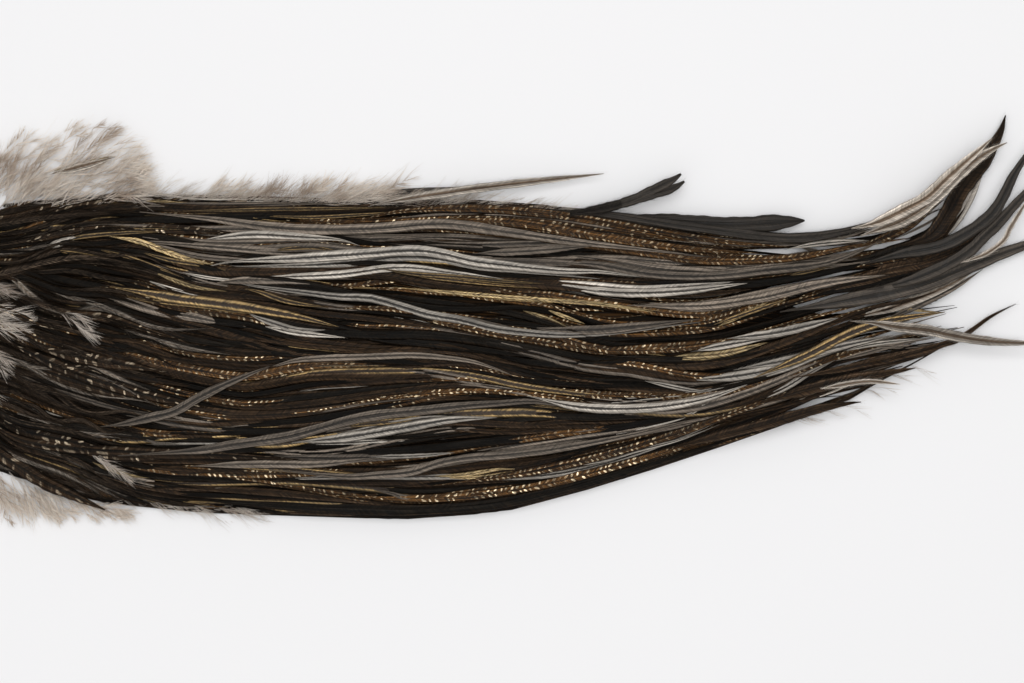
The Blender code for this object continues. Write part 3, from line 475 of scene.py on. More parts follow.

# Each kind of feather: its material slot, the colours of its middle stripe, vane and edge, the shares of
# stripe and edge, and what else sets its vanes apart.
# Contrast and grain set how far streaks and barb lines lighten and darken a vane's colour, partly as painted
# sheen.
VANES = {
    "black": ("black_hackle", "black", "black", "dark_brown", 0.5, 0.5,
              {"specular": 0.07, "contrast": 1.3, "grain": 1.2}),
    "grey": ("grey_hackle", "dark_grey", "grey", "pale_grey", 0.95, 0.3,
             {"specular": 0.2, "contrast": 1.1, "grain": 0.6}),
    "silver": ("silver_hackle", "dark_grey", "silver", "grey", 1.0, 0.4,
               {"roughness": 0.38, "contrast": 1.0, "grain": 0.5}),
    "gold": ("gold_hackle", "dark_brown", "gold", "dark_brown", 1.0, 0.8,
             {"bar": "straw", "bar_share": 0.3, "pitch": 0.9, "centre_width": 0.46, "grain": 1.2}),
    "straw": ("gold_hackle", "brown", "straw", "gold", 0.9, 0.8,
              {"bar_share": 0.3, "pitch": 1.1, "centre_width": 0.2, "specular": 0.2, "contrast": 1.3,
               "grain": 1.6}),
    "barred": ("barred_hackle", "dark_brown", "rich_brown", "dark_brown", 0.8, 0.7,
               {"bar_share": 1.0, "pitch": 1.8, "bar_width": 0.24, "centre_width": 0.22, "specular": 0.12,
                "contrast": 1.8, "grain": 1.5}),
    "spotted": ("barred_hackle", "black", "dark_brown", "black", 0.9, 0.5,
                {"bar": "spot", "bar_share": 1.0, "pitch": 3.3, "bar_width": 0.20, "specular": 0.08,
                 "contrast": 1.5, "grain": 1.0}),
    "webbed": ("black_hackle", "black", "webby_brown", "dark_brown", 0.4, 0.3,
               {"roughness": 0.5, "specular": 0.06, "contrast": 1.8, "grain": 1.6}),
    "fawn": ("brown_hackle", "taupe", "fawn", "webby_brown", 0.6, 0.6,
             {"centre_width": 0.2, "roughness": 0.5, "specular": 0.1, "contrast": 1.6, "grain": 1.4}),
    "dusk": ("black_hackle", "black", "dusk", "dusk", 0.9, 0.2,
             {"specular": 0.25, "contrast": 0.9, "grain": 0.45}),
    "slate": ("black_hackle", "black", "slate", "slate", 0.7, 0.2,
              {"specular": 0.2, "contrast": 1.1, "grain": 0.55}),
    "laced": ("brown_hackle", "taupe", "light_taupe", "pale_taupe", 0.95, 0.8,
              {"centre_width": 0.30, "roughness": 0.5, "specular": 0.15, "contrast": 1.0, "grain": 0.5}),
    "brown": ("brown_hackle", "black", "dark_brown", "taupe", 0.5, 0.5,
              {"specular": 0.09, "contrast": 1.3, "grain": 1.2}),
    "pale": ("silver_hackle", "light_taupe", "pale_taupe", "pale_taupe", 0.7, 0.5, {"contrast": 0.6}),
}


class HackleSizes(bpy.types.PropertyGroup):
    packed_count: IntProperty(
        name="Packed feathers", description="Feathers packed in the mass", default=610, min=10
    )
    packed_width: FloatProperty(
        name="Packed width", description="Widest spread of a packed feather's vanes", default=0.0024,
        unit="LENGTH"
    )
    under_count: IntProperty(
        name="Underside feathers", description="Feathers that show from below", default=170, min=10
    )
    webbed_count: IntProperty(
        name="Webbed feathers", description="Short broad feathers at the root end", default=105, min=10
    )
    webbed_width: FloatProperty(
        name="Webbed width", description="Widest spread of a short feather's vanes", default=0.0066,
        unit="LENGTH"
    )
    barb_length: FloatProperty(
        name="Barb tips", description="How far free barb tips stand out from a vane", default=0.0009,
        unit="LENGTH"
    )
    barb_gap: FloatProperty(
        name="Barb gap", description="Distance between free barb tips along an edge", default=0.0009,
        unit="LENGTH"
    )
    fibre_length: FloatProperty(
        name="Down fibre", description="Longest down fibre in the tufts", default=0.00682, unit="LENGTH"
    )
    fibre_radius: FloatProperty(
        name="Down radius", description="Radius of a down fibre at its root", default=0.00005,
        unit="LENGTH", precision=6
    )


def colour(name, description, value):
    """A colour of the panel."""
    return FloatVectorProperty(
        name=name, description=description, subtype="COLOR", size=4, min=0, max=1, default=(*value, 1)
    )


class HackleColours(bpy.types.PropertyGroup):
    black: colour("Black vane", "Vanes of the black feathers", (0.0056, 0.0043, 0.0030))
    grey: colour("Grey vane", "Vanes of the taupe-grey feathers", (0.146, 0.119, 0.094))
    silver: colour("Silver vane", "Vanes of the silver feathers", (0.37, 0.335, 0.29))
    gold: colour("Gold lacing", "Vanes of the laced feathers", (0.31, 0.205, 0.082))
    straw: colour("Straw streak", "Thin bright straw feathers", (0.33, 0.25, 0.13))
    brown: colour("Brown vane", "Vanes of the brown feathers", (0.060, 0.028, 0.0080))
    bar: colour("Bars", "Cream dashes across the barred feathers", (0.62, 0.50, 0.33))
    spot: colour("Spots", "White dots on the short webbed feathers", (0.52, 0.42, 0.30))
    down: colour("Down", "Pale fibres of the down", (0.89, 0.80, 0.70))
    down_shade: colour("Down shade", "Darker fibres of the down", (0.42, 0.31, 0.225))
    skin: colour("Skin", "Dried hide", (0.60, 0.44, 0.25))
    follicle: colour("Follicles", "Dark dots where the quills come through the hide", (0.12, 0.07, 0.04))
    floor: colour("Floor", "Surface that the hackle lies on", (0.82, 0.82, 0.83))


def sizes():
    """The sizes of the panel."""
    return bpy.context.scene.hackle_sizes


def colours():
    """The colours of the panel."""
    return bpy.context.scene.hackle_colours


# Shapes


def smooth_step(share):
    """0 below 0, 1 above 1, and 3 s^2 - 2 s^3 between."""
    share = np.clip(share, 0, 1)
    return share * share * (3 - 2 * share)


def curve_through(points, count):
    """A smooth curve through the points, at count equal steps of its length. On each span it is the
    cubic whose slope at either end is half the chord between that end's neighbours."""
    points = np.asarray(points, float)
    spans, steps_per_span = len(points) - 1, 12
    ends = np.vstack([2 * points[0] - points[1], points, 2 * points[-1] - points[-2]])
    a, b, c, d = (ends[k : k + spans][:, None] for k in range(4))
    t = np.linspace(0, 1, steps_per_span, endpoint=False)[None, :, None]
    fine = 0.5 * (2 * b + (c - a) * t + (2 * a - 5 * b + 4 * c - d) * t**2 + (3 * b - a - 3 * c + d) * t**3)
    fine = np.vstack([fine.reshape(-1, points.shape[1]), points[-1:]])
    run = np.concatenate([[0], np.cumsum(np.linalg.norm(np.diff(fine, axis=0), axis=1))])
    at = np.linspace(0, run[-1], count)
    return np.stack([np.interp(at, run, axis) for axis in fine.T], axis=1)


def traced(route, count):
    """The curve through a route of the tables, in metres."""
    return curve_through(np.array(route, float) * MM, count)


def side_at(table, x):
    """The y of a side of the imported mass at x, both in metres, on straight lines between its points."""
    xs, ys = np.array(table, float).T * MM
    return np.interp(x, xs, ys)


def fan_height(x, height):
    """0 along the mass, and the height along the fan: height smooth_step((x - start) / stretch)."""
    return height * MM * smooth_step((x - FAN_START_X * MM) / (FAN_STRETCH * MM))


def over_skin(x, y, margin, tip_margin):
    """Whether points lie over the skin, or within the margins past its sides and its tip edge."""
    beside = np.abs(y / MM - SKIN_MIDDLE_Y) < SKIN_HALF_WIDTH + margin
    return beside & (x / MM < SKIN_TIP_X + tip_margin)


def directions(paths, roll):
    """Unit vectors at each station of each path: along it, across its vanes and out of its face. The
    across vector is level, then turned about the path by roll."""
    along = np.gradient(paths, axis=1)
    along /= np.linalg.norm(along, axis=2, keepdims=True) + 1e-12
    level = np.stack([-along[..., 1], along[..., 0], np.zeros(along.shape[:2])], axis=2)
    level /= np.linalg.norm(level, axis=2, keepdims=True) + 1e-12
    out = np.cross(along, level)
    turn = roll[..., None]
    return along, level * np.cos(turn) + out * np.sin(turn), out * np.cos(turn) - level * np.sin(turn)


def ring_quads(rows, corners):
    """The quads between neighbouring closed rings of so many corners, as point numbers."""
    i, j = np.arange(rows - 1)[:, None] * corners, np.arange(corners)[None]
    k = (j + 1) % corners
    return np.stack([i + j, i + corners + j, i + corners + k, i + k], axis=2).reshape(-1, 4)


def swept(paths, half, roll, ring):
    """Closed strips: the ring, scaled by the half width, is carried along each path, so the point at
    station i and ring corner (a, r) is path + half * (a * across + r * out). Both ends are capped."""
    ring = np.array(ring, float)
    strips, stations, corners = len(paths), paths.shape[1], len(ring)
    _, across, out = directions(paths, roll)
    spread = ring[:, 0, None] * across[:, :, None] + ring[:, 1, None] * out[:, :, None]
    points = (paths[:, :, None] + half[:, :, None, None] * spread).reshape(-1, 3)
    first = (np.arange(strips) * stations * corners)[:, None, None]
    quads = (first + ring_quads(stations, corners)).reshape(-1, 4)
    if corners == 3:
        cap = np.array([[0, 1, 2]])
    else:
        low = np.arange(corners // 2 - 1)
        cap = np.stack([low, low + 1, corners - 2 - low, corners - 1 - low], axis=1)
    last = first + (stations - 1) * corners
    caps = np.concatenate([first + cap, last + cap[:, ::-1]], axis=1).reshape(-1, cap.shape[1])
    if corners == 3:
        return points, quads, caps
    return points, np.vstack([quads, caps]), NO_TRIANGLES


def marks_of(paths, ring, seed):
    """Values at each point of swept strips: metres along, place across, share of the length and seed."""
    steps = np.linalg.norm(np.diff(paths, axis=1), axis=2)
    run = np.concatenate([np.zeros((len(paths), 1)), np.cumsum(steps, axis=1)], axis=1)
    shape = (*run.shape, len(ring))
    return {
        "along": np.broadcast_to(run[..., None], shape).ravel(),
        "across": np.broadcast_to(np.array(ring, float)[:, 0], shape).ravel(),
        "share": np.broadcast_to((run / run[:, -1:])[..., None], shape).ravel(),
        "seed": np.broadcast_to(seed[:, None, None], shape).ravel(),
    }


def at_shares(values, share):
    """Values at shares of each path's stations, on straight lines between the stations."""
    place = share * (values.shape[1] - 1)
    low = np.clip(np.floor(place).astype(int), 0, values.shape[1] - 2)
    part = (place - low)[..., None]
    rows = np.arange(len(values))[:, None]
    return values[rows, low] * (1 - part) + values[rows, low + 1] * part


def barb_tips(paths, half, roll, seed, rng, start, length=None, gap=None, closeness=1, lift=0.25, thick=0.05):
    """Free barb tips along both edges: three-sided spikes with their base triangle just inside the edge,
    from where they head at 16 to 32 degrees to the quill, less so near the feather's tip. Lengths and
    gaps are in millimetres, and the panel's own hold where none is given."""
    least_angle, more_angle, tip_folding = 16, 16, 0.55
    inside_edge, hidden_part = 0.93, 0.25
    length = length * MM if length else sizes().barb_length
    gap = gap * MM if gap else sizes().barb_gap * closeness
    thick = thick * MM
    runs = np.linalg.norm(np.diff(paths, axis=1), axis=2).sum(axis=1)
    count = max(int(np.median(runs) * (1 - start) / gap), 4)
    share = start + (1 - start) * (np.arange(count)[None] + rng.random((len(paths), count))) / count
    share = np.concatenate([share, share], axis=1).clip(0, 0.999)
    edge = np.repeat([1.0, -1.0], count)[None, :, None]
    along, across, out = (at_shares(v, share) for v in directions(paths, roll))
    wide = at_shares(half[..., None], share)
    angle = np.radians(least_angle + more_angle * rng.random(share.shape))[..., None]
    angle = angle * (1 - tip_folding * share[..., None] ** 3)
    long = length * (0.45 + 1.1 * rng.random(share.shape) ** 1.6)[..., None]
    heading = along * np.cos(angle) + across * edge * np.sin(angle)
    heading = heading + out * (lift * (rng.random(share.shape)[..., None] - 0.5))
    root = at_shares(paths, share) + across * edge * wide * inside_edge - heading * long * hidden_part
    a = root + out * thick
    b = root - out * 0.5 * thick + along * 1.3 * thick
    c = root - out * 0.5 * thick - along * 1.3 * thick
    turned = (np.cross(b - a, c - a) * heading).sum(axis=2, keepdims=True) > 0
    b, c = np.where(turned, c, b), np.where(turned, b, c)
    points = np.stack([a, b, c, root + heading * long], axis=2)
    first = (np.arange(points.shape[0] * points.shape[1]) * 4)[:, None, None]
    triangles = (first + np.array([[0, 1, 2], [1, 0, 3], [2, 1, 3], [0, 2, 3]])).reshape(-1, 3)
    shape = points.shape[:3]
    marks = {
        "along": np.broadcast_to((share * runs[:, None])[..., None], shape).ravel(),
        "across": np.broadcast_to(edge * np.array([0.9, 0.9, 0.9, 1.0]), shape).ravel(),
        "share": np.broadcast_to(share[..., None], shape).ravel(),
        "seed": np.broadcast_to(seed[:, None, None], shape).ravel(),
    }
    return points.reshape(-1, 3), triangles, marks


class Shell:
    """Gathers points, faces and marks into one mesh."""

    def __init__(self):
        self.points, self.quads, self.triangles, self.marks, self.count = [], [], [], [], 0

    def add(self, points, quads, triangles, marks):
        points[:, 2] = np.maximum(points[:, 2], LOWEST)
        self.points.append(points)
        self.quads.append(quads + self.count)
        self.triangles.append(triangles + self.count)
        self.marks.append(marks)
        self.count += len(points)

    def piece(self, name, look, slot, nodes):
        """The gathered mesh as one object that rides on the root and stands for the nodes."""
        if not self.count:
            raise RuntimeError(f"{name} has no shape to show")
        mesh = bpy.data.meshes.new(name)
        points = np.concatenate(self.points)
        quads, triangles = np.concatenate(self.quads), np.concatenate(self.triangles)
        loops = np.concatenate([quads.ravel(), triangles.ravel()]).astype(np.int32)
        starts = np.concatenate([4 * np.arange(len(quads)), 4 * len(quads) + 3 * np.arange(len(triangles))])
        mesh.vertices.add(len(points))
        mesh.vertices.foreach_set("co", points.astype(np.float32).ravel())
        mesh.loops.add(len(loops))
        mesh.loops.foreach_set("vertex_index", loops)
        mesh.polygons.add(len(starts))
        mesh.polygons.foreach_set("loop_start", starts.astype(np.int32))
        mesh.polygons.foreach_set("use_smooth", np.ones(len(starts), bool))
        mesh.update(calc_edges=True)
        for key in self.marks[0]:
            values = np.concatenate([marks[key] for marks in self.marks]).astype(np.float32)
            mesh.attributes.new(key, "FLOAT", "POINT").data.foreach_set("value", values)
        mesh.materials.append(look)
        made = bpy.data.objects.new(name, mesh)
        bpy.context.scene.collection.objects.link(made)
        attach(made, "root")
        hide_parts(*nodes)
        return made


def weld(made, distance):
    """Closes poles and seams: points nearer than the distance become one."""
    mesh = bmesh.new()
    mesh.from_mesh(made.data)
    bmesh.ops.remove_doubles(mesh, verts=mesh.verts, dist=distance)
    mesh.to_mesh(made.data)
    mesh.free()


def add_feathers(shell, paths, half, roll, seed, ring, rng, form):
    """Sweeps the ring along the quills for the closed vanes, and sets free barb tips along their edges."""
    closed, barbs = BARB_FORMS[form]
    half = half * closed
    points, quads, triangles = swept(paths, half, roll, ring)
    shell.add(points, quads, triangles, marks_of(paths, ring, seed))
    points, triangles, marks = barb_tips(paths, half, roll, seed, rng, **barbs)
    shell.add(points, NO_QUADS, triangles, marks)


def vane_half_width(width, share, root=0.25, tip=0.06, taper=0.55, point=0.75, swell=0.2):
    """Half the vanes' spread at shares of the length: it grows from the root over the share called swell,
    keeps its width, and narrows to a tip over the last part, the blunter the smaller point is."""
    grown = root + (1 - root) * smooth_step(share / swell)
    narrow = tip + (1 - tip) * np.clip(1 - smooth_step((share - taper) / (1 - taper)), 0, 1) ** point
    return width / 2 * grown * narrow


def height_map(node):
    """A solid's top heights on a grid, read straight down, then averaged with their neighbours."""
    margin, step_along, step_across = 0.003, 0.003, 0.002
    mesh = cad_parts[node].data
    tree = BVHTree.FromPolygons([v.co for v in mesh.vertices], [p.vertices for p in mesh.polygons])
    low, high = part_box(node)
    xs = np.arange(low.x - margin, high.x + margin, step_along)
    ys = np.arange(low.y - margin, high.y + margin, step_across)
    down = Vector((0, 0, -1))
    hits = [[tree.ray_cast(Vector((x, y, 1)), down)[0] for y in ys] for x in xs]
    heights = np.array([[hit.z if hit else 0.0 for hit in row] for row in hits])
    rows, columns = heights.shape
    padded = np.pad(heights, 1, mode="edge")
    around = [padded[i : i + rows, j : j + columns] for i in range(3) for j in range(3)]
    return xs, ys, np.where(heights > 0, np.mean(around, axis=0), 0)


def height_at(grid, x, y):
    """The height map's value at points, on straight lines between its grid points."""
    xs, ys, heights = grid
    u = np.clip((x - xs[0]) / (xs[1] - xs[0]), 0, len(xs) - 1.001)
    v = np.clip((y - ys[0]) / (ys[1] - ys[0]), 0, len(ys) - 1.001)
    i, j = u.astype(int), v.astype(int)
    u, v = u - i, v - j
    near = heights[i, j] * (1 - v) + heights[i, j + 1] * v
    far = heights[i + 1, j] * (1 - v) + heights[i + 1, j + 1] * v
    return near * (1 - u) + far * u


def resting_heights():
    """Height maps of all that a loose feather can lie on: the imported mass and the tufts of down."""
    return [height_map(node) for node in ("feather_bed", *(tuft[0] for tuft in DOWN_TUFTS))]


def resting_at(grids, x, y):
    """The highest of the height maps at points."""
    return np.max([height_at(grid, x, y) for grid in grids], axis=0)


def solid_height(node, points):
    """The middle height of a slender solid beside each point: the mean of its corners' heights,
    weighed by a bell curve of their distance d, and by 1e-9 / d^2 where none is near."""
    reach = 0.0045
    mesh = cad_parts[node].data
    corners = np.empty(len(mesh.vertices) * 3, np.float32)
    mesh.vertices.foreach_get("co", corners)
    corners = np.unique(np.round(corners.reshape(-1, 3), 6), axis=0)
    far = ((points[:, None, :2] - corners[None, :, :2]) ** 2).sum(axis=2)
    weight = np.exp(-far / (2 * reach**2)) + 1e-9 / (far + 1e-6)
    return (weight * corners[:, 2]).sum(axis=1) / weight.sum(axis=1)


def with_heights(lines, heights):
    """Level lines with a height for each of their points."""
    return np.concatenate([lines, heights[..., None]], axis=-1)


def flow_guides():
    """Points and headings along every traced feather that lies with the flow."""
    routes = [route for node, _, _, route in FEATHERS if node not in AGAINST_THE_FLOW]
    routes += [route for _, _, route in STREAKS]
    at, heading = [], []
    for route in routes:
        line = traced(route, 40)
        step = np.gradient(line, axis=0)
        at.append(line)
        heading.append(step / np.linalg.norm(step, axis=1, keepdims=True))
    return np.vstack(at), np.vstack(heading)


def follow(starts, lengths, turn, guides):
    """Paths that drift along the flow. At each step a path heads along the mean of the guides near
    it, weighed by a bell curve of their distance, and of the slant between the two sides; turn, an
    angle at each station, sways it. It stays between the sides."""
    reach, look_ahead, slant_weight, rim = 0.0045, 0.004, 0.6, 0.0006
    at, heading = guides
    here = starts.copy()
    found = [here.copy()]
    step = (lengths / (turn.shape[1] - 1))[:, None]
    for k in range(1, turn.shape[1]):
        low, high = side_at(LOWER_SIDE, here[:, 0]), side_at(UPPER_SIDE, here[:, 0])
        ahead = here[:, 0] + look_ahead
        share = np.clip((here[:, 1] - low) / (high - low), 0, 1)
        rise = (1 - share) * (side_at(LOWER_SIDE, ahead) - low) + share * (side_at(UPPER_SIDE, ahead) - high)
        slant = np.stack([np.ones(len(here)), rise / look_ahead], axis=1)
        far = ((here[:, None] - at[None]) ** 2).sum(axis=2)
        mean = np.exp(-far / (2 * reach**2)) @ heading + slant_weight * slant
        angle = np.arctan2(mean[:, 1], mean[:, 0]) + turn[:, k]
        here = here + step * np.stack([np.cos(angle), np.sin(angle)], axis=1)
        low, high = side_at(LOWER_SIDE, here[:, 0]), side_at(UPPER_SIDE, here[:, 0])
        here[:, 1] = np.clip(here[:, 1], low + rim, high - rim)
        found.append(here.copy())
    return np.stack(found, axis=1)


def sway(rng, count, stations, degrees):
    """Slow turns along each path: a sine of random strength and phase, with 0.6 to 2.2 waves."""
    t = np.linspace(0, 1, stations)[None]
    waves, phase = 0.6 + 1.6 * rng.random((count, 1)), 2 * math.pi * rng.random((count, 1))
    return np.radians(degrees) * rng.standard_normal((count, 1)) * np.sin(2 * math.pi * waves * t + phase)


def kinds_at(places, rng):
    """The kind of feather for each place, drawn by the shares of the patches around it."""
    middles = np.array([patch[0] for patch in PATCHES]) * MM
    reaches = np.array([patch[1] for patch in PATCHES]) * MM
    shares = np.array([patch[2] for patch in PATCHES], float)
    far = (((places[:, None] - middles[None]) / reaches[None]) ** 2).sum(axis=2)
    chance = (np.exp(-0.5 * far) + 1e-6) @ (shares / shares.sum(axis=1, keepdims=True))
    chance = np.cumsum(chance / chance.sum(axis=1, keepdims=True), axis=1)
    return (rng.random((len(places), 1)) > chance).sum(axis=1).clip(0, len(KINDS) - 1)


def plan(rng, count, root_range, last_tip, longest, shortest):
    """Starts and lengths of feathers, from places and lengths in millimetres. The tips are spread from the
    first root to the last tip, denser there; a root lies in its range, or the longest length behind its
    tip; and the places across are even, in mixed order."""
    tip_crowding = 0.72
    first_root, last_root = root_range[0] * MM, root_range[1] * MM
    tip = first_root + (last_tip * MM - first_root) * rng.random(count) ** tip_crowding
    root = np.maximum(first_root + (last_root - first_root) * rng.random(count), tip - longest * MM)
    length = np.maximum(tip - root, shortest * MM)
    low, high = side_at(LOWER_SIDE, root), side_at(UPPER_SIDE, root)
    share = rng.permutation((np.arange(count) + rng.random(count)) / count)
    return np.stack([root, low + (high - low) * share], axis=1), length


def plumes(roots, tips, per_plume, rng, lift, fibre_length, spread):
    """Down plumes. A plume's shaft runs from its root to its tip with a slight bow; fibres leave it on every
    side at a low angle, in strands of three, and bend forward: at t along a fibre of length L the point is
    base + L ((t - t^2 / 2) first + t^2 / 2 last)."""
    bareness, bowing, least_angle, side_turn = 0.97, 0.10, 12, 30
    count = len(roots)
    share = (np.arange(per_plume)[None] + rng.random((count, per_plume))) / per_plume * bareness
    shaft = (tips - roots)[:, None]
    reach = np.linalg.norm(shaft, axis=2, keepdims=True)
    along = shaft / reach
    level = np.stack([-along[..., 1], along[..., 0], 0 * along[..., 0]], axis=2)
    level /= np.linalg.norm(level, axis=2, keepdims=True)
    out = np.cross(along, level)
    bow = reach * bowing * rng.standard_normal((count, 1, 1))
    s = share[..., None]
    base = roots[:, None] + shaft * s + (level * bow + out * lift) * (4 * s * (1 - s))
    strand = 3 * (np.arange(per_plume) // 3)
    turn = np.where(rng.random(share.shape) < 0.5, 0, math.pi)
    turn = (turn + np.radians(side_turn) * rng.standard_normal(share.shape))[:, strand]
    aside = level * np.cos(turn)[..., None] + out * np.abs(np.sin(turn))[..., None]
    angle = least_angle + spread * rng.random(share.shape)[:, strand] + 3 * rng.random(share.shape)
    angle = np.radians(angle)[..., None]
    first = along * np.cos(angle) + aside * np.sin(angle)
    last = along * np.cos(angle * 0.3) + aside * np.sin(angle * 0.3)
    last = last + 0.20 * rng.standard_normal(last.shape)[:, strand] + 0.07 * rng.standard_normal(last.shape)
    long = fibre_length * (0.6 + 0.5 * np.sin(math.pi * np.clip(s + 0.12, 0, 1)) ** 0.7)
    long = long * (0.45 + 1.0 * rng.random(s.shape)) * (1 - 0.7 * s**3)
    t = np.linspace(0, 1, 3)[None, None, :, None]
    base, first, last, long = (v[:, :, None] for v in (base, first, last, long))
    paths = base + long * ((t - t * t / 2) * first + t * t / 2 * last)
    paths[..., 2] = np.maximum(paths[..., 2], 0.15 * MM)
    return paths.reshape(-1, 3, 3)


def add_fibres(shell, paths, rng, radius):
    """Fine three-sided fibres that taper to their tips. The three of a strand share their seed."""
    share = np.linspace(0, 1, paths.shape[1])[None]
    half = radius * (1.05 - 0.8 * share) * (0.8 + 0.5 * rng.random((len(paths), 1)))
    roll = np.zeros(half.shape) + 6 * rng.random((len(paths), 1))
    points, quads, triangles = swept(paths, half, roll, FIBRE_RING)
    seed = rng.random(len(paths))[3 * (np.arange(len(paths)) // 3)]
    shell.add(points, quads, triangles, marks_of(paths, FIBRE_RING, seed))


# Looks


def tone(name, level=1.0):
    """A colour of the panel, or one mixed from its colours, times the level."""
    parts = MIXED.get(name, {name: 1.0})
    mixed = [sum(share * getattr(colours(), part)[k] for part, share in parts.items()) for k in range(3)]
    return (*(level * value for value in mixed), 1)


def feed(tree, socket, value):
    """Links the value to the socket where it comes from a node, and sets it there otherwise."""
    if isinstance(value, bpy.types.NodeSocket):
        tree.links.new(value, socket)
    else:
        socket.default_value = value


def put(tree, kind, **inputs):
    """A node with its settings and sockets fed by name."""
    node = tree.nodes.new(kind)
    for key, value in inputs.items():
        if hasattr(node, key):
            setattr(node, key, value)
        else:
            feed(tree, node.inputs[key], value)
    return node


def calc(tree, operation, *values, clamp=False):
    """The result of one sum on sockets or numbers."""
    node = put(tree, "ShaderNodeMath", operation=operation, use_clamp=clamp)
    for socket, value in zip(node.inputs, values):
        feed(tree, socket, value)
    return node.outputs[0]


def plus(tree, first, second):
    return calc(tree, "ADD", first, second)


def minus(tree, first, second):
    return calc(tree, "SUBTRACT", first, second)


def times(tree, first, second):
    return calc(tree, "MULTIPLY", first, second)


def ramp(tree, value, low, high, start=0.0, end=1.0):
    """A smooth step of the value: start below low, end above high."""
    node = put(tree, "ShaderNodeMapRange", interpolation_type="SMOOTHSTEP", Value=value)
    for name, number in (("From Min", low), ("From Max", high), ("To Min", start), ("To Max", end)):
        node.inputs[name].default_value = number
    return node.outputs["Result"]


def blend_colours(tree, share, first, second):
    """The first colour, turned into the second by the share."""
    node = put(tree, "ShaderNodeMix", data_type="RGBA")
    share_socket, first_socket, second_socket = (node.inputs[k] for k in (0, 6, 7))
    for socket, value in ((share_socket, share), (first_socket, first), (second_socket, second)):
        feed(tree, socket, value)
    return node.outputs[2]


def noise(tree, x, y, z, detail):
    """Noise at a place made of three values."""
    place = put(tree, "ShaderNodeCombineXYZ", X=x, Y=y, Z=z).outputs[0]
    return put(tree, "ShaderNodeTexNoise", Vector=place, Scale=1.0, Detail=detail).outputs["Fac"]


def object_noise(tree, scale, detail):
    """Noise in the object's own coordinates."""
    place = put(tree, "ShaderNodeTexCoord").outputs["Object"]
    return put(tree, "ShaderNodeTexNoise", Vector=place, Scale=scale, Detail=detail).outputs["Fac"]


def mark(tree, name):
    """A value that the mesh keeps at each point."""
    return put(tree, "ShaderNodeAttribute", attribute_name=name).outputs["Fac"]


def bump(tree, height, distance, strength):
    """The normal of a surface that the height lifts."""
    return put(tree, "ShaderNodeBump", Height=height, Distance=distance, Strength=strength).outputs[0]


def new_look(name):
    """A new material, its node tree and its shader."""
    look = bpy.data.materials.new(name)
    look.use_nodes = True
    return look, look.node_tree, look.node_tree.nodes["Principled BSDF"]


def new_group(name, inputs, outputs):
    """A new group of shader nodes with plain number sockets."""
    group = bpy.data.node_groups.new(name, "ShaderNodeTree")
    for key in inputs:
        group.interface.new_socket(key, in_out="INPUT", socket_type="NodeSocketFloat")
    for key in outputs:
        group.interface.new_socket(key, in_out="OUTPUT", socket_type="NodeSocketFloat")
    return group, group.nodes.new("NodeGroupInput").outputs, group.nodes.new("NodeGroupOutput").inputs


def vane_marks_group():
    """The marks on a feather's vanes, from metres along and place across.

    Barbs: fine lines that leave the quill at a low angle. Streak: longer soft bands along the vane.
    Centre and Edge: bands by the distance from the quill, with frayed limits. Bars: short oval
    dashes on both vanes, a pitch apart, each with a strength of its own."""
    if "vane_marks" in bpy.data.node_groups:
        return bpy.data.node_groups["vane_marks"]
    barb_slope, barbs_per_mm, band_fraying, bar_fraying = 1.6, 2.7, 0.35, 0.10
    bar_slope, bar_drift, bar_middle, bar_reach = 0.45, 2.4, 0.52, 0.36
    inputs = ("Along", "Across", "Seed", "Pitch", "Bar width", "Centre width")
    tree, given, out = new_group("vane_marks", inputs, ("Barbs", "Streak", "Centre", "Edge", "Bars"))
    along, seed = times(tree, given["Along"], 1 / MM), given["Seed"]
    side = calc(tree, "SIGN", given["Across"])
    from_quill = calc(tree, "ABSOLUTE", given["Across"])
    barb = minus(tree, along, times(tree, from_quill, barb_slope))
    own = plus(tree, times(tree, seed, 57.0), times(tree, side, 5.3))
    grain = noise(tree, times(tree, barb, barbs_per_mm), times(tree, along, 0.10), own, 3.0)
    tree.links.new(ramp(tree, grain, 0.36, 0.64), out["Barbs"])
    other = plus(tree, own, 31.0)
    streak = noise(tree, times(tree, along, 0.06), times(tree, from_quill, 6.0), other, 3.0)
    tree.links.new(ramp(tree, streak, 0.34, 0.66), out["Streak"])
    frayed = plus(tree, from_quill, times(tree, minus(tree, grain, 0.5), band_fraying))
    middle = minus(tree, frayed, given["Centre width"])
    tree.links.new(ramp(tree, middle, -0.16, 0.16, 1.0, 0.0), out["Centre"])
    tree.links.new(ramp(tree, frayed, 0.55, 0.95), out["Edge"])
    place = plus(tree, calc(tree, "DIVIDE", along, given["Pitch"]), times(tree, seed, 7.0))
    place = minus(tree, place, times(tree, from_quill, bar_slope))
    drift = noise(tree, times(tree, along, 0.22), side, own, 2.0)
    place = plus(tree, place, times(tree, drift, bar_drift))
    which = put(tree, "ShaderNodeCombineXYZ", X=calc(tree, "FLOOR", place), Y=side, Z=own).outputs[0]
    chance = put(tree, "ShaderNodeTexWhiteNoise", Vector=which).outputs["Value"]
    saw = calc(tree, "ABSOLUTE", minus(tree, calc(tree, "FRACT", place), 0.5))
    ragged = plus(tree, saw, times(tree, minus(tree, grain, 0.5), bar_fraying))
    length_share = calc(tree, "POWER", calc(tree, "DIVIDE", ragged, given["Bar width"]), 2.0)
    width_share = calc(tree, "DIVIDE", minus(tree, from_quill, bar_middle), bar_reach)
    within = minus(tree, 1.0, plus(tree, length_share, calc(tree, "POWER", width_share, 2.0)))
    dash = times(tree, ramp(tree, within, 0.0, 0.45), ramp(tree, chance, 0.28, 0.95))
    tree.links.new(dash, out["Bars"])
    return tree


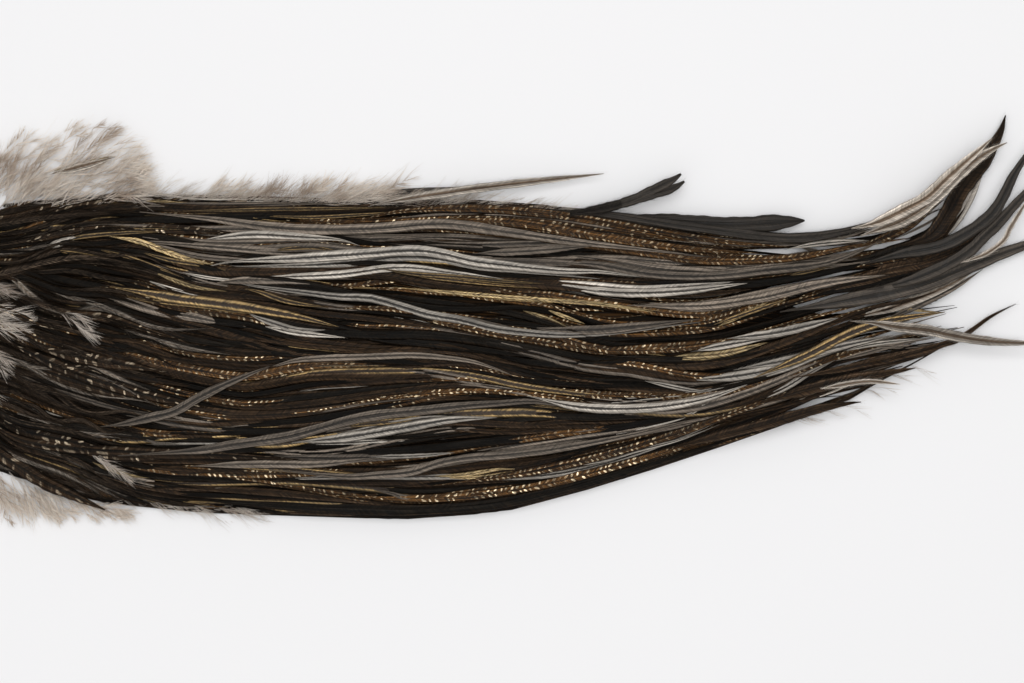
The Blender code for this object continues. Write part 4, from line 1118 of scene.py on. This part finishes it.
def vane_look(name, centre, vane, edge, centre_share, edge_share, bar="bar", bar_share=0.0, pitch=2.7,
              bar_width=0.3, centre_width=0.26, roughness=0.42, specular=0.3, contrast=0.8, grain=0.45):
    """A feather's material: centre stripe, vane, edge and bar colours by the vane marks, made lighter and
    darker by barbs, streaks and each feather's own seed. The barb and streak lines in the colour are partly
    the vanes'
    own tone and partly painted sheen: light lines that stand in for the highlights along the barbs."""
    if name in bpy.data.materials:
        return bpy.data.materials[name]
    look, tree, shader = new_look(name)
    seed = mark(tree, "seed")
    group = put(tree, "ShaderNodeGroup", node_tree=vane_marks_group())
    for key, value in (("Along", mark(tree, "along")), ("Across", mark(tree, "across")), ("Seed", seed),
                       ("Pitch", pitch), ("Bar width", bar_width), ("Centre width", centre_width)):
        feed(tree, group.inputs[key], value)
    marks = group.outputs
    shade = blend_colours(tree, times(tree, marks["Edge"], edge_share), tone(vane), tone(edge))
    # The centre stripe darkens the middle of the vane: on the grey and silver kinds partly the quill's own
    # colour, partly painted shade of the groove it lies in.
    shade = blend_colours(tree, times(tree, marks["Centre"], centre_share), shade, tone(centre))
    bar_chance = calc(tree, "FRACT", times(tree, seed, 5.1))
    strength = ramp(tree, bar_chance, 0.1, 0.8, 0.35 * bar_share, bar_share)
    shade = blend_colours(tree, times(tree, marks["Bars"], strength), shade, tone(bar))
    # Streaks and barb lines lighten and darken the colour: partly the vanes' own tone, partly painted sheen
    # along the barbs.
    streak_sheen = plus(tree, 1 - contrast / 2, times(tree, marks["Streak"], contrast))
    grain_sheen = plus(tree, 1 - grain / 2, times(tree, marks["Barbs"], grain))
    own_level = plus(tree, 0.62, times(tree, calc(tree, "FRACT", times(tree, seed, 13.7)), 0.76))
    level = times(tree, times(tree, streak_sheen, grain_sheen), own_level)
    lit = put(tree, "ShaderNodeVectorMath", operation="SCALE")
    feed(tree, lit.inputs[0], shade)
    feed(tree, lit.inputs["Scale"], level)
    tree.links.new(lit.outputs[0], shader.inputs["Base Color"])
    tree.links.new(plus(tree, roughness, times(tree, marks["Barbs"], 0.16)), shader.inputs["Roughness"])
    height = plus(tree, times(tree, marks["Barbs"], 0.35), marks["Streak"])
    tree.links.new(bump(tree, height, 0.1 * MM, 0.7), shader.inputs["Normal"])
    shader.inputs["Specular IOR Level"].default_value = specular
    return look


def feather_piece(shell, name, kind, node):
    """The gathered feathers of one kind as a piece, with the material of their kind."""
    slot, centre, vane, edge, centre_share, edge_share, settings = VANES[kind]
    look = vane_look(f"{kind}_vanes", centre, vane, edge, centre_share, edge_share, **settings)
    return shell.piece(name, look, slot, [node])


def down_look(name="down_fibres", level=1.0):
    """Pale fibres whose shade drifts in patches and from root to tip."""
    if name in bpy.data.materials:
        return bpy.data.materials[name]
    look, tree, shader = new_look(name)
    patch = object_noise(tree, 78.0, 3.0)
    shaded = plus(tree, ramp(tree, patch, 0.42, 0.72, 0.0, 0.8), times(tree, mark(tree, "seed"), 0.75))
    shaded = calc(tree, "SUBTRACT", shaded, times(tree, mark(tree, "share"), 0.5), clamp=True)
    shade = blend_colours(tree, shaded, tone("down", level), tone("down_shade", level))
    tree.links.new(shade, shader.inputs["Base Color"])
    tree.links.new(plus(tree, 0.7, times(tree, patch, 0.2)), shader.inputs["Roughness"])
    shader.inputs["Sheen Weight"].default_value = 0.3
    shader.inputs["Specular IOR Level"].default_value = 0.3
    return look


def mass_look():
    """The dark depth between the feathers, streaked along them."""
    look, tree, shader = new_look("inner_mass")
    along, across = times(tree, mark(tree, "along"), 14.0), times(tree, mark(tree, "across"), 55.0)
    streak = noise(tree, along, across, 0.3, 4.0)
    shade = blend_colours(tree, ramp(tree, streak, 0.45, 0.75), tone("black"), tone("brown"))
    tree.links.new(shade, shader.inputs["Base Color"])
    tree.links.new(bump(tree, streak, 0.8 * MM, 1.0), shader.inputs["Normal"])
    tree.links.new(ramp(tree, streak, 0.2, 0.8, 0.5, 0.75), shader.inputs["Roughness"])
    shader.inputs["Specular IOR Level"].default_value = 0.08
    return look


def skin_look():
    """Dried hide: cream to amber, mottled, finely wrinkled and dotted with follicles."""
    look, tree, shader = new_look("dried_skin")
    mottle, wrinkle = object_noise(tree, 60.0, 4.0), object_noise(tree, 400.0, 5.0)
    place = put(tree, "ShaderNodeTexCoord").outputs["Object"]
    pits = put(tree, "ShaderNodeTexVoronoi", Vector=place, Scale=330.0).outputs["Distance"]
    shade = blend_colours(tree, ramp(tree, mottle, 0.35, 0.7), tone("skin"), tone("skin", 0.5))
    shade = blend_colours(tree, ramp(tree, pits, 0.05, 0.25, 0.7, 0.0), shade, tone("follicle"))
    tree.links.new(shade, shader.inputs["Base Color"])
    height = plus(tree, times(tree, pits, 0.6), wrinkle)
    tree.links.new(bump(tree, height, 0.4 * MM, 0.8), shader.inputs["Normal"])
    tree.links.new(ramp(tree, wrinkle, 0.3, 0.7, 0.5, 0.75), shader.inputs["Roughness"])
    return look


def floor_look():
    """Plain and pale, a touch uneven."""
    look, tree, shader = new_look("floor")
    shade = blend_colours(tree, object_noise(tree, 3.0, 2.0), tone("floor"), tone("floor", 0.985))
    tree.links.new(shade, shader.inputs["Base Color"])
    shader.inputs["Roughness"].default_value = 0.9
    shader.inputs["Specular IOR Level"].default_value = 0.1
    return look


# Pieces


class HACKLE_OT_skin(bpy.types.Operator):
    """The dried skin: at u from the middle and angle a it lies u r(a) out, where r is
    (|cos a|^n + |sin a|^n)^(-1/n), trimmed by slow sines. Its top is rippled and its underside flat"""

    bl_idname = "hackle.skin"
    bl_label = "Skin"

    def execute(self, context):
        rings, around, squareness = 14, 120, 3.4
        deep_trim, fine_trim = 0.022, 0.012
        below_top, thinning, ripple_height, grain_height = 0.2 * MM, 0.6 * MM, 0.16 * MM, 0.1 * MM
        low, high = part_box("skin")
        out = np.linspace(0, 1, rings)[:, None]
        turn = np.linspace(0, 2 * math.pi, around, endpoint=False)[None]
        corner = np.abs(np.cos(turn)) ** squareness + np.abs(np.sin(turn)) ** squareness
        corner = corner ** (-1 / squareness)
        trim = corner * (1 - deep_trim * np.sin(5 * turn + 1) ** 2 - fine_trim * np.sin(17 * turn) ** 2)
        x = (low.x + high.x) / 2 + (high.x - low.x) / 2 * out * trim * np.cos(turn)
        y = (low.y + high.y) / 2 + (high.y - low.y) / 2 * out * trim * np.sin(turn)
        ripple = ripple_height * np.sin(x * 410) * np.sin(y * 350 + 1)
        ripple = ripple + grain_height * np.sin(x * 1100 + y * 900)
        top = np.stack([x, y, high.z - below_top + ripple - thinning * out**14], axis=2)
        under = np.stack([x, y, np.zeros_like(x)], axis=2)
        points = np.concatenate([top, under[::-1]]).reshape(-1, 3)
        shell = Shell()
        shell.add(points, ring_quads(2 * rings, around), NO_TRIANGLES, {"share": points[:, 2] / high.z})
        weld(shell.piece("skin_patch", skin_look(), "skin", ["skin"]), 0.001 * MM)
        return {"FINISHED"}


class HACKLE_OT_inner_mass(bpy.types.Operator):
    """The dark depth under the top feathers: the solid's own dome, lowered, grooved lengthwise by
    g sin(110 e + 2.5 sin(28 x + 4 e)) at e from side to side, and closed below"""

    bl_idname = "hackle.inner_mass"
    bl_label = "Inner mass"

    def execute(self, context):
        stations, columns = 60, 90
        root_x, tip_x, narrow_from_x = ROOTS_X * MM, 118 * MM, 60 * MM
        within_sides, groove_height = 1.2 * MM, 0.5 * MM
        domed, lowered, tip_lowered = 0.86, 1.2 * MM, 6 * MM
        over_skin_height, over_table_height = 1.7 * MM, 0.6 * MM
        grid = height_map("feather_bed")
        x, edge = np.linspace(root_x, tip_x, stations), np.linspace(-1, 1, columns)
        x, edge = np.meshgrid(x, edge, indexing="ij")
        low, high = side_at(LOWER_SIDE, x) + within_sides, side_at(UPPER_SIDE, x) - within_sides
        narrow = 1 - 0.97 * smooth_step((x - narrow_from_x) / (tip_x - narrow_from_x))
        y = (low + high) / 2 + (high - low) / 2 * narrow * edge
        groove = groove_height * np.sin(edge * 110 + 2.5 * np.sin(x * 28 + 4 * edge)) * (1 - edge**6)
        top = height_at(grid, x, y) * domed - lowered + groove - tip_lowered * (1 - narrow)
        floor = np.where(over_skin(x, y, 4, 6), over_skin_height, over_table_height)
        top = np.maximum(np.maximum(top, 0.8 * MM), floor + 0.2 * MM)
        top[:, [0, -1]] = floor[:, [0, -1]] + 0.1 * MM
        back = slice(-2, 0, -1)
        over, under = np.stack([x, y, top], axis=2), np.stack([x, y, floor], axis=2)
        ring = np.concatenate([over, under[:, back]], axis=1)
        corners = ring.shape[1]
        inner = np.arange(1, columns - 2)
        cap = np.stack([inner, inner + 1, corners - 1 - inner, corners - inner], axis=1)
        cap_ends = np.array([[0, 1, corners - 1], [columns - 1, columns, columns - 2]])
        last = (stations - 1) * corners
        quads = np.vstack([ring_quads(stations, corners), cap, last + cap[:, ::-1]])
        triangles = np.vstack([cap_ends, last + cap_ends[:, ::-1]])
        marks = {
            "along": np.concatenate([x, x[:, back]], axis=1).ravel(),
            "across": np.concatenate([edge, edge[:, back]], axis=1).ravel(),
        }
        shell = Shell()
        shell.add(ring.reshape(-1, 3), quads, triangles, marks)
        shell.piece("inner_mass", mass_look(), "packed_hackle", ["feather_bed"])
        return {"FINISHED"}


class HACKLE_OT_packed_feathers(bpy.types.Operator):
    """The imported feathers: strips that drift with the flow, in layers, each of a kind its place calls for"""

    bl_idname = "hackle.packed_feathers"
    bl_label = "Packed feathers"

    def execute(self, context):
        rng = np.random.default_rng(11)
        count, stations = sizes().packed_count, 26
        layer_depth, root_sinking, lifted, ripple_height = 2.2 * MM, 1.2 * MM, 0.5 * MM, 0.35 * MM
        kind_station = int(stations * 0.6)
        grid = height_map("feather_bed")
        starts, length = plan(rng, count, (ROOTS_X, -85), 156, 165, 50)
        line = follow(starts, length, sway(rng, count, stations, 5.0), flow_guides())
        share = np.linspace(0, 1, stations)[None]
        layer = rng.random((count, 1)) ** 0.7
        waves = share * (1 + 2 * rng.random((count, 1))) + rng.random((count, 1))
        height = np.maximum(height_at(grid, line[..., 0], line[..., 1]), fan_height(line[..., 0], 3.4))
        sunk = layer_depth * (1 - layer) + 0.1 * MM + root_sinking * (1 - smooth_step(share / 0.2))
        z = np.maximum(height - sunk, 0.6 * MM) + ripple_height * np.sin(2 * math.pi * waves)
        paths = with_heights(line, np.maximum(z + lifted * smooth_step(height / (4 * MM)), 0.5 * MM))
        width = sizes().packed_width * (0.65 + 0.7 * rng.random((count, 1)))
        half = vane_half_width(width, share, root=0.06, taper=0.62, swell=0.3)
        roll = np.radians(16) * rng.standard_normal((count, 1))
        roll = roll * np.cos(3 * share + 6 * rng.random((count, 1)))
        seed = rng.random(count)
        kind = kinds_at(line[:, kind_station], rng)
        for number, name in enumerate(KINDS):
            mine = kind == number
            if not mine.any():
                continue
            shell = Shell()
            add_feathers(shell, paths[mine], half[mine], roll[mine], seed[mine], PLAIN_RING, rng, "packed")
            feather_piece(shell, "packed_" + name, name, "feather_bed")
        return {"FINISHED"}


class HACKLE_OT_streak_feathers(bpy.types.Operator):
    """The feathers that show as streaks on the mass, each along its own traced route"""

    bl_idname = "hackle.streak_feathers"
    bl_label = "Streak feathers"

    def execute(self, context):
        rng = np.random.default_rng(23)
        stations, evened = 36, 9
        over_mass, over_side, side_reach = 0.7 * MM, 0.7 * MM, 6 * MM
        root_sinking, tip_sinking = 1.2 * MM, 0.4 * MM
        share = np.linspace(0, 1, stations)
        sunk = root_sinking * (1 - smooth_step(share / 0.15)) + tip_sinking * smooth_step((share - 0.9) / 0.1)
        grids = resting_heights()
        for name in sorted({streak[0] for streak in STREAKS}):
            shell = Shell()
            for width, route in (streak[1:] for streak in STREAKS if streak[0] == name):
                line = traced(route, stations)
                x, y = line.T
                low, high = side_at(LOWER_SIDE, x), side_at(UPPER_SIDE, x)
                beside = 1 - np.clip(np.minimum(high - y, y - low) / side_reach, 0, 1)
                rest = np.maximum(resting_at(grids, x, y), fan_height(x, 3.6))
                rest = np.pad(rest, evened // 2, mode="edge")
                rest = np.convolve(rest, np.ones(evened) / evened, mode="valid")
                path = with_heights(line, rest + over_mass + over_side * beside - sunk)[None]
                half = vane_half_width(width * MM, share[None], root=0.04, taper=0.5, swell=0.38)
                roll = np.radians(8) * np.sin(4 * share[None] + 6 * rng.random())
                form = "fluffy" if name == "fawn" else "streak"
                add_feathers(shell, path, half, roll, rng.random(1), FINE_RING, rng, form)
            feather_piece(shell, "streak_" + name, name, "feather_bed")
        return {"FINISHED"}


class HACKLE_OT_named_feathers(bpy.types.Operator):
    """Every feather that has a solid of its own: fine vanes with free barbs along the solid's own line"""

    bl_idname = "hackle.named_feathers"
    bl_label = "Named feathers"

    def execute(self, context):
        stations = 60
        pressed, free_from_x, free_stretch, full_bed = 0.76, 80 * MM, 30 * MM, 5 * MM
        share = np.linspace(0, 1, stations)[None]
        grid = height_map("feather_bed")
        for number, (node, kind, width, route) in enumerate(FEATHERS):
            rng = np.random.default_rng(100 + number)
            line = traced(route, stations)
            bed = height_at(grid, line[:, 0], line[:, 1])
            z = solid_height(node, line)
            z = z - SETTLING * np.maximum(z - bed, 0) * smooth_step(bed / full_bed)
            path = with_heights(line, z)[None]
            vane = BLUNT_VANES.get(node, SLENDER_VANE)
            half = vane_half_width(width * MM, share, point=0.5, swell=0.28, **vane)
            half = half * (pressed + (1 - pressed) * smooth_step((path[..., 0] - free_from_x) / free_stretch))
            half = half * (1 + 0.04 * np.sin(37 * share + number) + 0.03 * np.sin(83 * share))
            roll = np.radians(7) * np.sin(3 * share + number)
            if node == "black_upturned_feather":
                fork = smooth_step((share - 0.45) / 0.55)[..., None] * np.array([1.0, -2.2, 0]) * MM
                path, roll = np.vstack([path, path + fork]), np.vstack([roll, roll])
                half = np.vstack([half, half]) * 0.8
            free = route[-1][0] > FREE_TIPS_X or node in FREE_FEATHERS
            form = "webby" if kind == "webbed" else "loose" if free else "tight"
            shell = Shell()
            add_feathers(shell, path, half, roll, rng.random(len(path)), FINE_RING, rng, form)
            feather_piece(shell, "fine_" + node, kind, node)
        return {"FINISHED"}


class HACKLE_OT_webbed_feathers(bpy.types.Operator):
    """The short, broad, soft feathers that cover the root end"""

    bl_idname = "hackle.webbed_feathers"
    bl_label = "Webbed feathers"

    def execute(self, context):
        rng = np.random.default_rng(37)
        count, stations = sizes().webbed_count, 26
        first_x, root_reach, shortest, more_length = -173 * MM, 52 * MM, 30 * MM, 26 * MM
        over_mass, stacking, scatter = 0.4 * MM, 1.2 * MM, 0.5 * MM
        grid = height_map("feather_bed")
        root = first_x + root_reach * rng.random(count) ** 0.8
        low, high = side_at(LOWER_SIDE, root), side_at(UPPER_SIDE, root)
        place = rng.permutation((np.arange(count) + rng.random(count)) / count)
        starts = np.stack([root, low + (high - low) * place], axis=1)
        length = shortest + more_length * rng.random(count)
        line = follow(starts, length, sway(rng, count, stations, 9.0), flow_guides())
        share = np.linspace(0, 1, stations)[None]
        order = (root - root.min())[:, None] / np.ptp(root)
        rise = over_mass + stacking * (1 - order) * share + scatter * rng.random((count, 1))
        paths = with_heights(line, height_at(grid, line[..., 0], line[..., 1]) + rise)
        width = sizes().webbed_width * (0.7 + 0.6 * rng.random((count, 1)))
        half = vane_half_width(width, share, root=0.35, tip=0.04, taper=0.5)
        roll = np.radians(10) * rng.standard_normal((count, 1)) * np.ones_like(share)
        seed = rng.random(count)
        draw = rng.integers(0, 10, count)
        kinds = (("webbed", draw < 6, 0.22), ("fawn", draw == 6, 0.22), ("spotted", draw == 7, 0.45),
                 ("black", draw > 7, 0.25))
        for name, mine, closed in kinds:
            shell = Shell()
            core = half[mine] * closed
            add_feathers(shell, paths[mine], core, roll[mine], seed[mine], PLAIN_RING, rng, "short")
            feather_piece(shell, "webbed_" + name, name, "feather_bed")
        return {"FINISHED"}


class HACKLE_OT_underside_feathers(bpy.types.Operator):
    """The feathers that show from below, on the surface that the hackle lies on"""

    bl_idname = "hackle.underside_feathers"
    bl_label = "Underside feathers"

    def execute(self, context):
        rng = np.random.default_rng(53)
        kinds = ("black", "brown", "grey")
        count, stations, broader = sizes().under_count, 11, 1.6
        over_skin_height, over_table_height, scatter = 1.6 * MM, 0.5 * MM, 0.3 * MM
        starts, length = plan(rng, count, (-165, -85), 140, 200, 60)
        line = follow(starts, length, sway(rng, count, stations, 3.0), flow_guides())
        share = np.linspace(0, 1, stations)[None]
        on_skin = over_skin(line[..., 0], line[..., 1], 2, 2)
        z = np.where(on_skin, over_skin_height, over_table_height + scatter * rng.random((count, 1)))
        paths = with_heights(line, z)
        half = vane_half_width(sizes().packed_width * broader * np.ones((count, 1)), share)
        seed = rng.random(count)
        for number, name in enumerate(kinds):
            mine = np.arange(count) % len(kinds) == number
            shell = Shell()
            points, quads, triangles = swept(paths[mine], half[mine], 0 * half[mine], PLAIN_RING)
            shell.add(points, quads, triangles, marks_of(paths[mine], PLAIN_RING, seed[mine]))
            feather_piece(shell, "under_" + name, name, "feather_bed")
        return {"FINISHED"}


class HACKLE_OT_down(bpy.types.Operator):
    """The down: plumes of fine fibres in each tuft, from the feathers' side out to the tuft's own reach"""

    bl_idname = "hackle.down"
    bl_label = "Down"

    def execute(self, context):
        stations, fewest, per_plume, scatter, lift = 60, 16, 30, 13, 0.6 * MM
        longest_plume, lowest = 11 * MM, 0.5 * MM
        for number, (node, height, area, leans, roots, tips) in enumerate(DOWN_TUFTS):
            rng = np.random.default_rng(200 + number)
            on_edge, at_end = "edge" in node, node == "down_butt_end"
            shortest_plume, shortest_fibre = (7 * MM, 4.5 * MM) if on_edge else (3 * MM, 2 * MM)
            root_line, tip_line = traced(roots, stations), traced(tips, stations)
            span = np.linalg.norm(np.diff(tip_line, axis=0), axis=1).sum()
            depth = np.linalg.norm(tip_line - root_line, axis=1).mean()
            count = max(int(span * depth / MM**2 / area), fewest)
            place = (np.arange(count) + rng.random(count)) / count
            out = rng.permutation((np.arange(count) + rng.random(count)) / count)
            out = 0.55 * out - 0.40 if on_edge else out**1.15 - 0.20
            out = 1.7 * out - 1.5 if at_end else out
            station = (place * (stations - 1)).astype(int)
            way = tip_line[station] - root_line[station]
            start = root_line[station] + way * out[:, None]
            lean = leans[0] + (leans[1] - leans[0]) * place + scatter * rng.standard_normal(count)
            lean = np.radians(lean)
            room = np.linalg.norm(way, axis=1) * (1 - out)
            reach = np.clip(room * 0.75, shortest_plume, longest_plume) * (0.7 + 0.5 * rng.random(count))
            end = start + reach[:, None] * np.stack([np.cos(lean), np.sin(lean)], axis=1)
            rise = height * MM * (1.8 if at_end else 1) * rng.random(count)
            start, end = with_heights(start, lowest + 0.85 * rise), with_heights(end, lowest + 0.6 * rise)
            fibre = np.clip(room * 0.55, shortest_fibre, sizes().fibre_length).reshape(-1, 1, 1)
            shell = Shell()
            fibres = plumes(start, end, per_plume, rng, lift, fibre, spread=28)
            add_fibres(shell, fibres, rng, sizes().fibre_radius)
            shell.piece("fine_" + node, down_look(), "down", [node])
        return {"FINISHED"}


class HACKLE_OT_loose_plumes(bpy.types.Operator):
    """Soft pale plumes that show among the feathers at the root end"""

    bl_idname = "hackle.loose_plumes"
    bl_label = "Loose plumes"

    def execute(self, context):
        rng = np.random.default_rng(71)
        tip_rise, bow, fibre, finer = 0.4 * MM, 0.4 * MM, 5 * MM, 0.8
        grid = height_map("feather_bed")
        start, end = (np.array([plume[k] for plume in LOOSE_PLUMES]) * MM for k in (0, 1))
        over_mass = np.array([plume[2] for plume in LOOSE_PLUMES]) * MM
        start = with_heights(start, height_at(grid, *start.T) + over_mass)
        end = with_heights(end, height_at(grid, *end.T) + over_mass + tip_rise)
        shell = Shell()
        fibres = plumes(start, end, 90, rng, bow, fibre, spread=20)
        add_fibres(shell, fibres, rng, sizes().fibre_radius * finer)
        shell.piece("loose_plumes", down_look("dusky_fibres", 0.8), "down", ["feather_bed"])
        return {"FINISHED"}


class HACKLE_OT_wisps(bpy.types.Operator):
    """Low wisps of down that stand out along the sides, a few fibres each"""

    bl_idname = "hackle.wisps"
    bl_label = "Wisps"

    def execute(self, context):
        rng = np.random.default_rng(83)
        per_wisp, within_side, shortest, more_length = 9, 0.9 * MM, 5 * MM, 7 * MM
        lowest, scatter, bow, fibre, finer = 1.2 * MM, 2.4 * MM, 0.3 * MM, 5.6 * MM, 0.95
        shell = Shell()
        for side, first_x, last_x, count, lean in WISPS:
            table, outward = (UPPER_SIDE, 1) if side == "upper" else (LOWER_SIDE, -1)
            x = (first_x + (last_x - first_x) * rng.random(count)) * MM
            y = side_at(table, x) - outward * within_side
            angle = outward * np.radians(lean * (0.3 + 1.2 * rng.random(count)))
            long = shortest + more_length * rng.random(count) ** 1.8
            root = np.stack([x, y, lowest + scatter * rng.random(count)], axis=1)
            tip = root + long[:, None] * np.stack([np.cos(angle), np.sin(angle), 0 * angle], axis=1)
            fibres = plumes(root, tip, per_wisp, rng, bow, fibre, spread=16)
            add_fibres(shell, fibres, rng, sizes().fibre_radius * finer)
        shell.piece("wisps", down_look("dusky_fibres", 0.8), "down", ["feather_bed"])
        return {"FINISHED"}


class HACKLE_OT_stage(bpy.types.Operator):
    """A pale floor, soft light from above and the camera over the hackle"""

    bl_idname = "hackle.stage"
    bl_label = "Stage"

    def execute(self, context):
        scene = context.scene
        reach = 3.0
        corners = [(-reach, -reach, 0), (reach, -reach, 0), (reach, reach, 0), (-reach, reach, 0)]
        mesh = bpy.data.meshes.new("floor")
        mesh.from_pydata(corners, [], [(0, 1, 2, 3)])
        mesh.materials.append(floor_look())
        floor = bpy.data.objects.new("floor", mesh)
        scene.collection.objects.link(floor)
        scene.world = bpy.data.worlds.new("studio")
        scene.world.use_nodes = True
        background = scene.world.node_tree.nodes["Background"]
        background.inputs["Color"].default_value = (1.0, 0.99, 0.98, 1)
        background.inputs["Strength"].default_value = 0.50
        lit_spot = Vector((0.015, 0, 0))
        lights = (("soft_top", (0.03, 0.16, 1.3), 0.9, 11.2), ("soft_side", (-0.4, -0.6, 1.0), 1.0, 1.4))
        for name, at, size, power in lights:
            light = bpy.data.lights.new(name, "AREA")
            light.size = size
            light.energy = power
            lamp = bpy.data.objects.new(name, light)
            lamp.location = at
            lamp.rotation_euler = (lit_spot - Vector(at)).to_track_quat("-Z", "Y").to_euler()
            scene.collection.objects.link(lamp)
        camera = bpy.data.cameras.new("camera")
        camera.lens = 100
        seen = PHOTO_PIXELS_ACROSS * MM_PER_PIXEL * MM
        hackle_height = 8 * MM
        eye = bpy.data.objects.new("camera", camera)
        eye.location = (15.6 * MM, -6.45 * MM, seen * camera.lens / camera.sensor_width + hackle_height)
        scene.collection.objects.link(eye)
        scene.camera = eye
        scene.view_settings.view_transform = "Standard"
        return {"FINISHED"}


class HACKLE_PT_panel(bpy.types.Panel):
    """The steps in their order, and every size and colour"""

    bl_idname = "HACKLE_PT_panel"
    bl_label = "Rooster saddle hackle"
    bl_space_type = "VIEW_3D"
    bl_region_type = "UI"
    bl_category = "Hackle"

    def draw(self, context):
        for step in STEPS:
            self.layout.operator(step.bl_idname)
        for group in (context.scene.hackle_sizes, context.scene.hackle_colours):
            box = self.layout.box()
            for key in type(group).__annotations__:
                box.prop(group, key)


STEPS = (
    HACKLE_OT_skin,
    HACKLE_OT_inner_mass,
    HACKLE_OT_packed_feathers,
    HACKLE_OT_streak_feathers,
    HACKLE_OT_named_feathers,
    HACKLE_OT_webbed_feathers,
    HACKLE_OT_underside_feathers,
    HACKLE_OT_down,
    HACKLE_OT_loose_plumes,
    HACKLE_OT_wisps,
    HACKLE_OT_stage,
)
CLASSES = (HackleSizes, HackleColours, *STEPS, HACKLE_PT_panel)


def register():
    for cls in CLASSES:
        bpy.utils.register_class(cls)
    bpy.types.Scene.hackle_sizes = PointerProperty(type=HackleSizes)
    bpy.types.Scene.hackle_colours = PointerProperty(type=HackleColours)


def unregister():
    del bpy.types.Scene.hackle_colours
    del bpy.types.Scene.hackle_sizes
    for cls in reversed(CLASSES):
        bpy.utils.unregister_class(cls)


def main():
    register()
    bpy.ops.hackle.skin()
    bpy.ops.hackle.inner_mass()
    bpy.ops.hackle.packed_feathers()
    bpy.ops.hackle.streak_feathers()
    bpy.ops.hackle.named_feathers()
    bpy.ops.hackle.webbed_feathers()
    bpy.ops.hackle.underside_feathers()
    bpy.ops.hackle.down()
    bpy.ops.hackle.loose_plumes()
    bpy.ops.hackle.wisps()
    bpy.ops.hackle.stage()


if __name__ == "__main__":
    main()
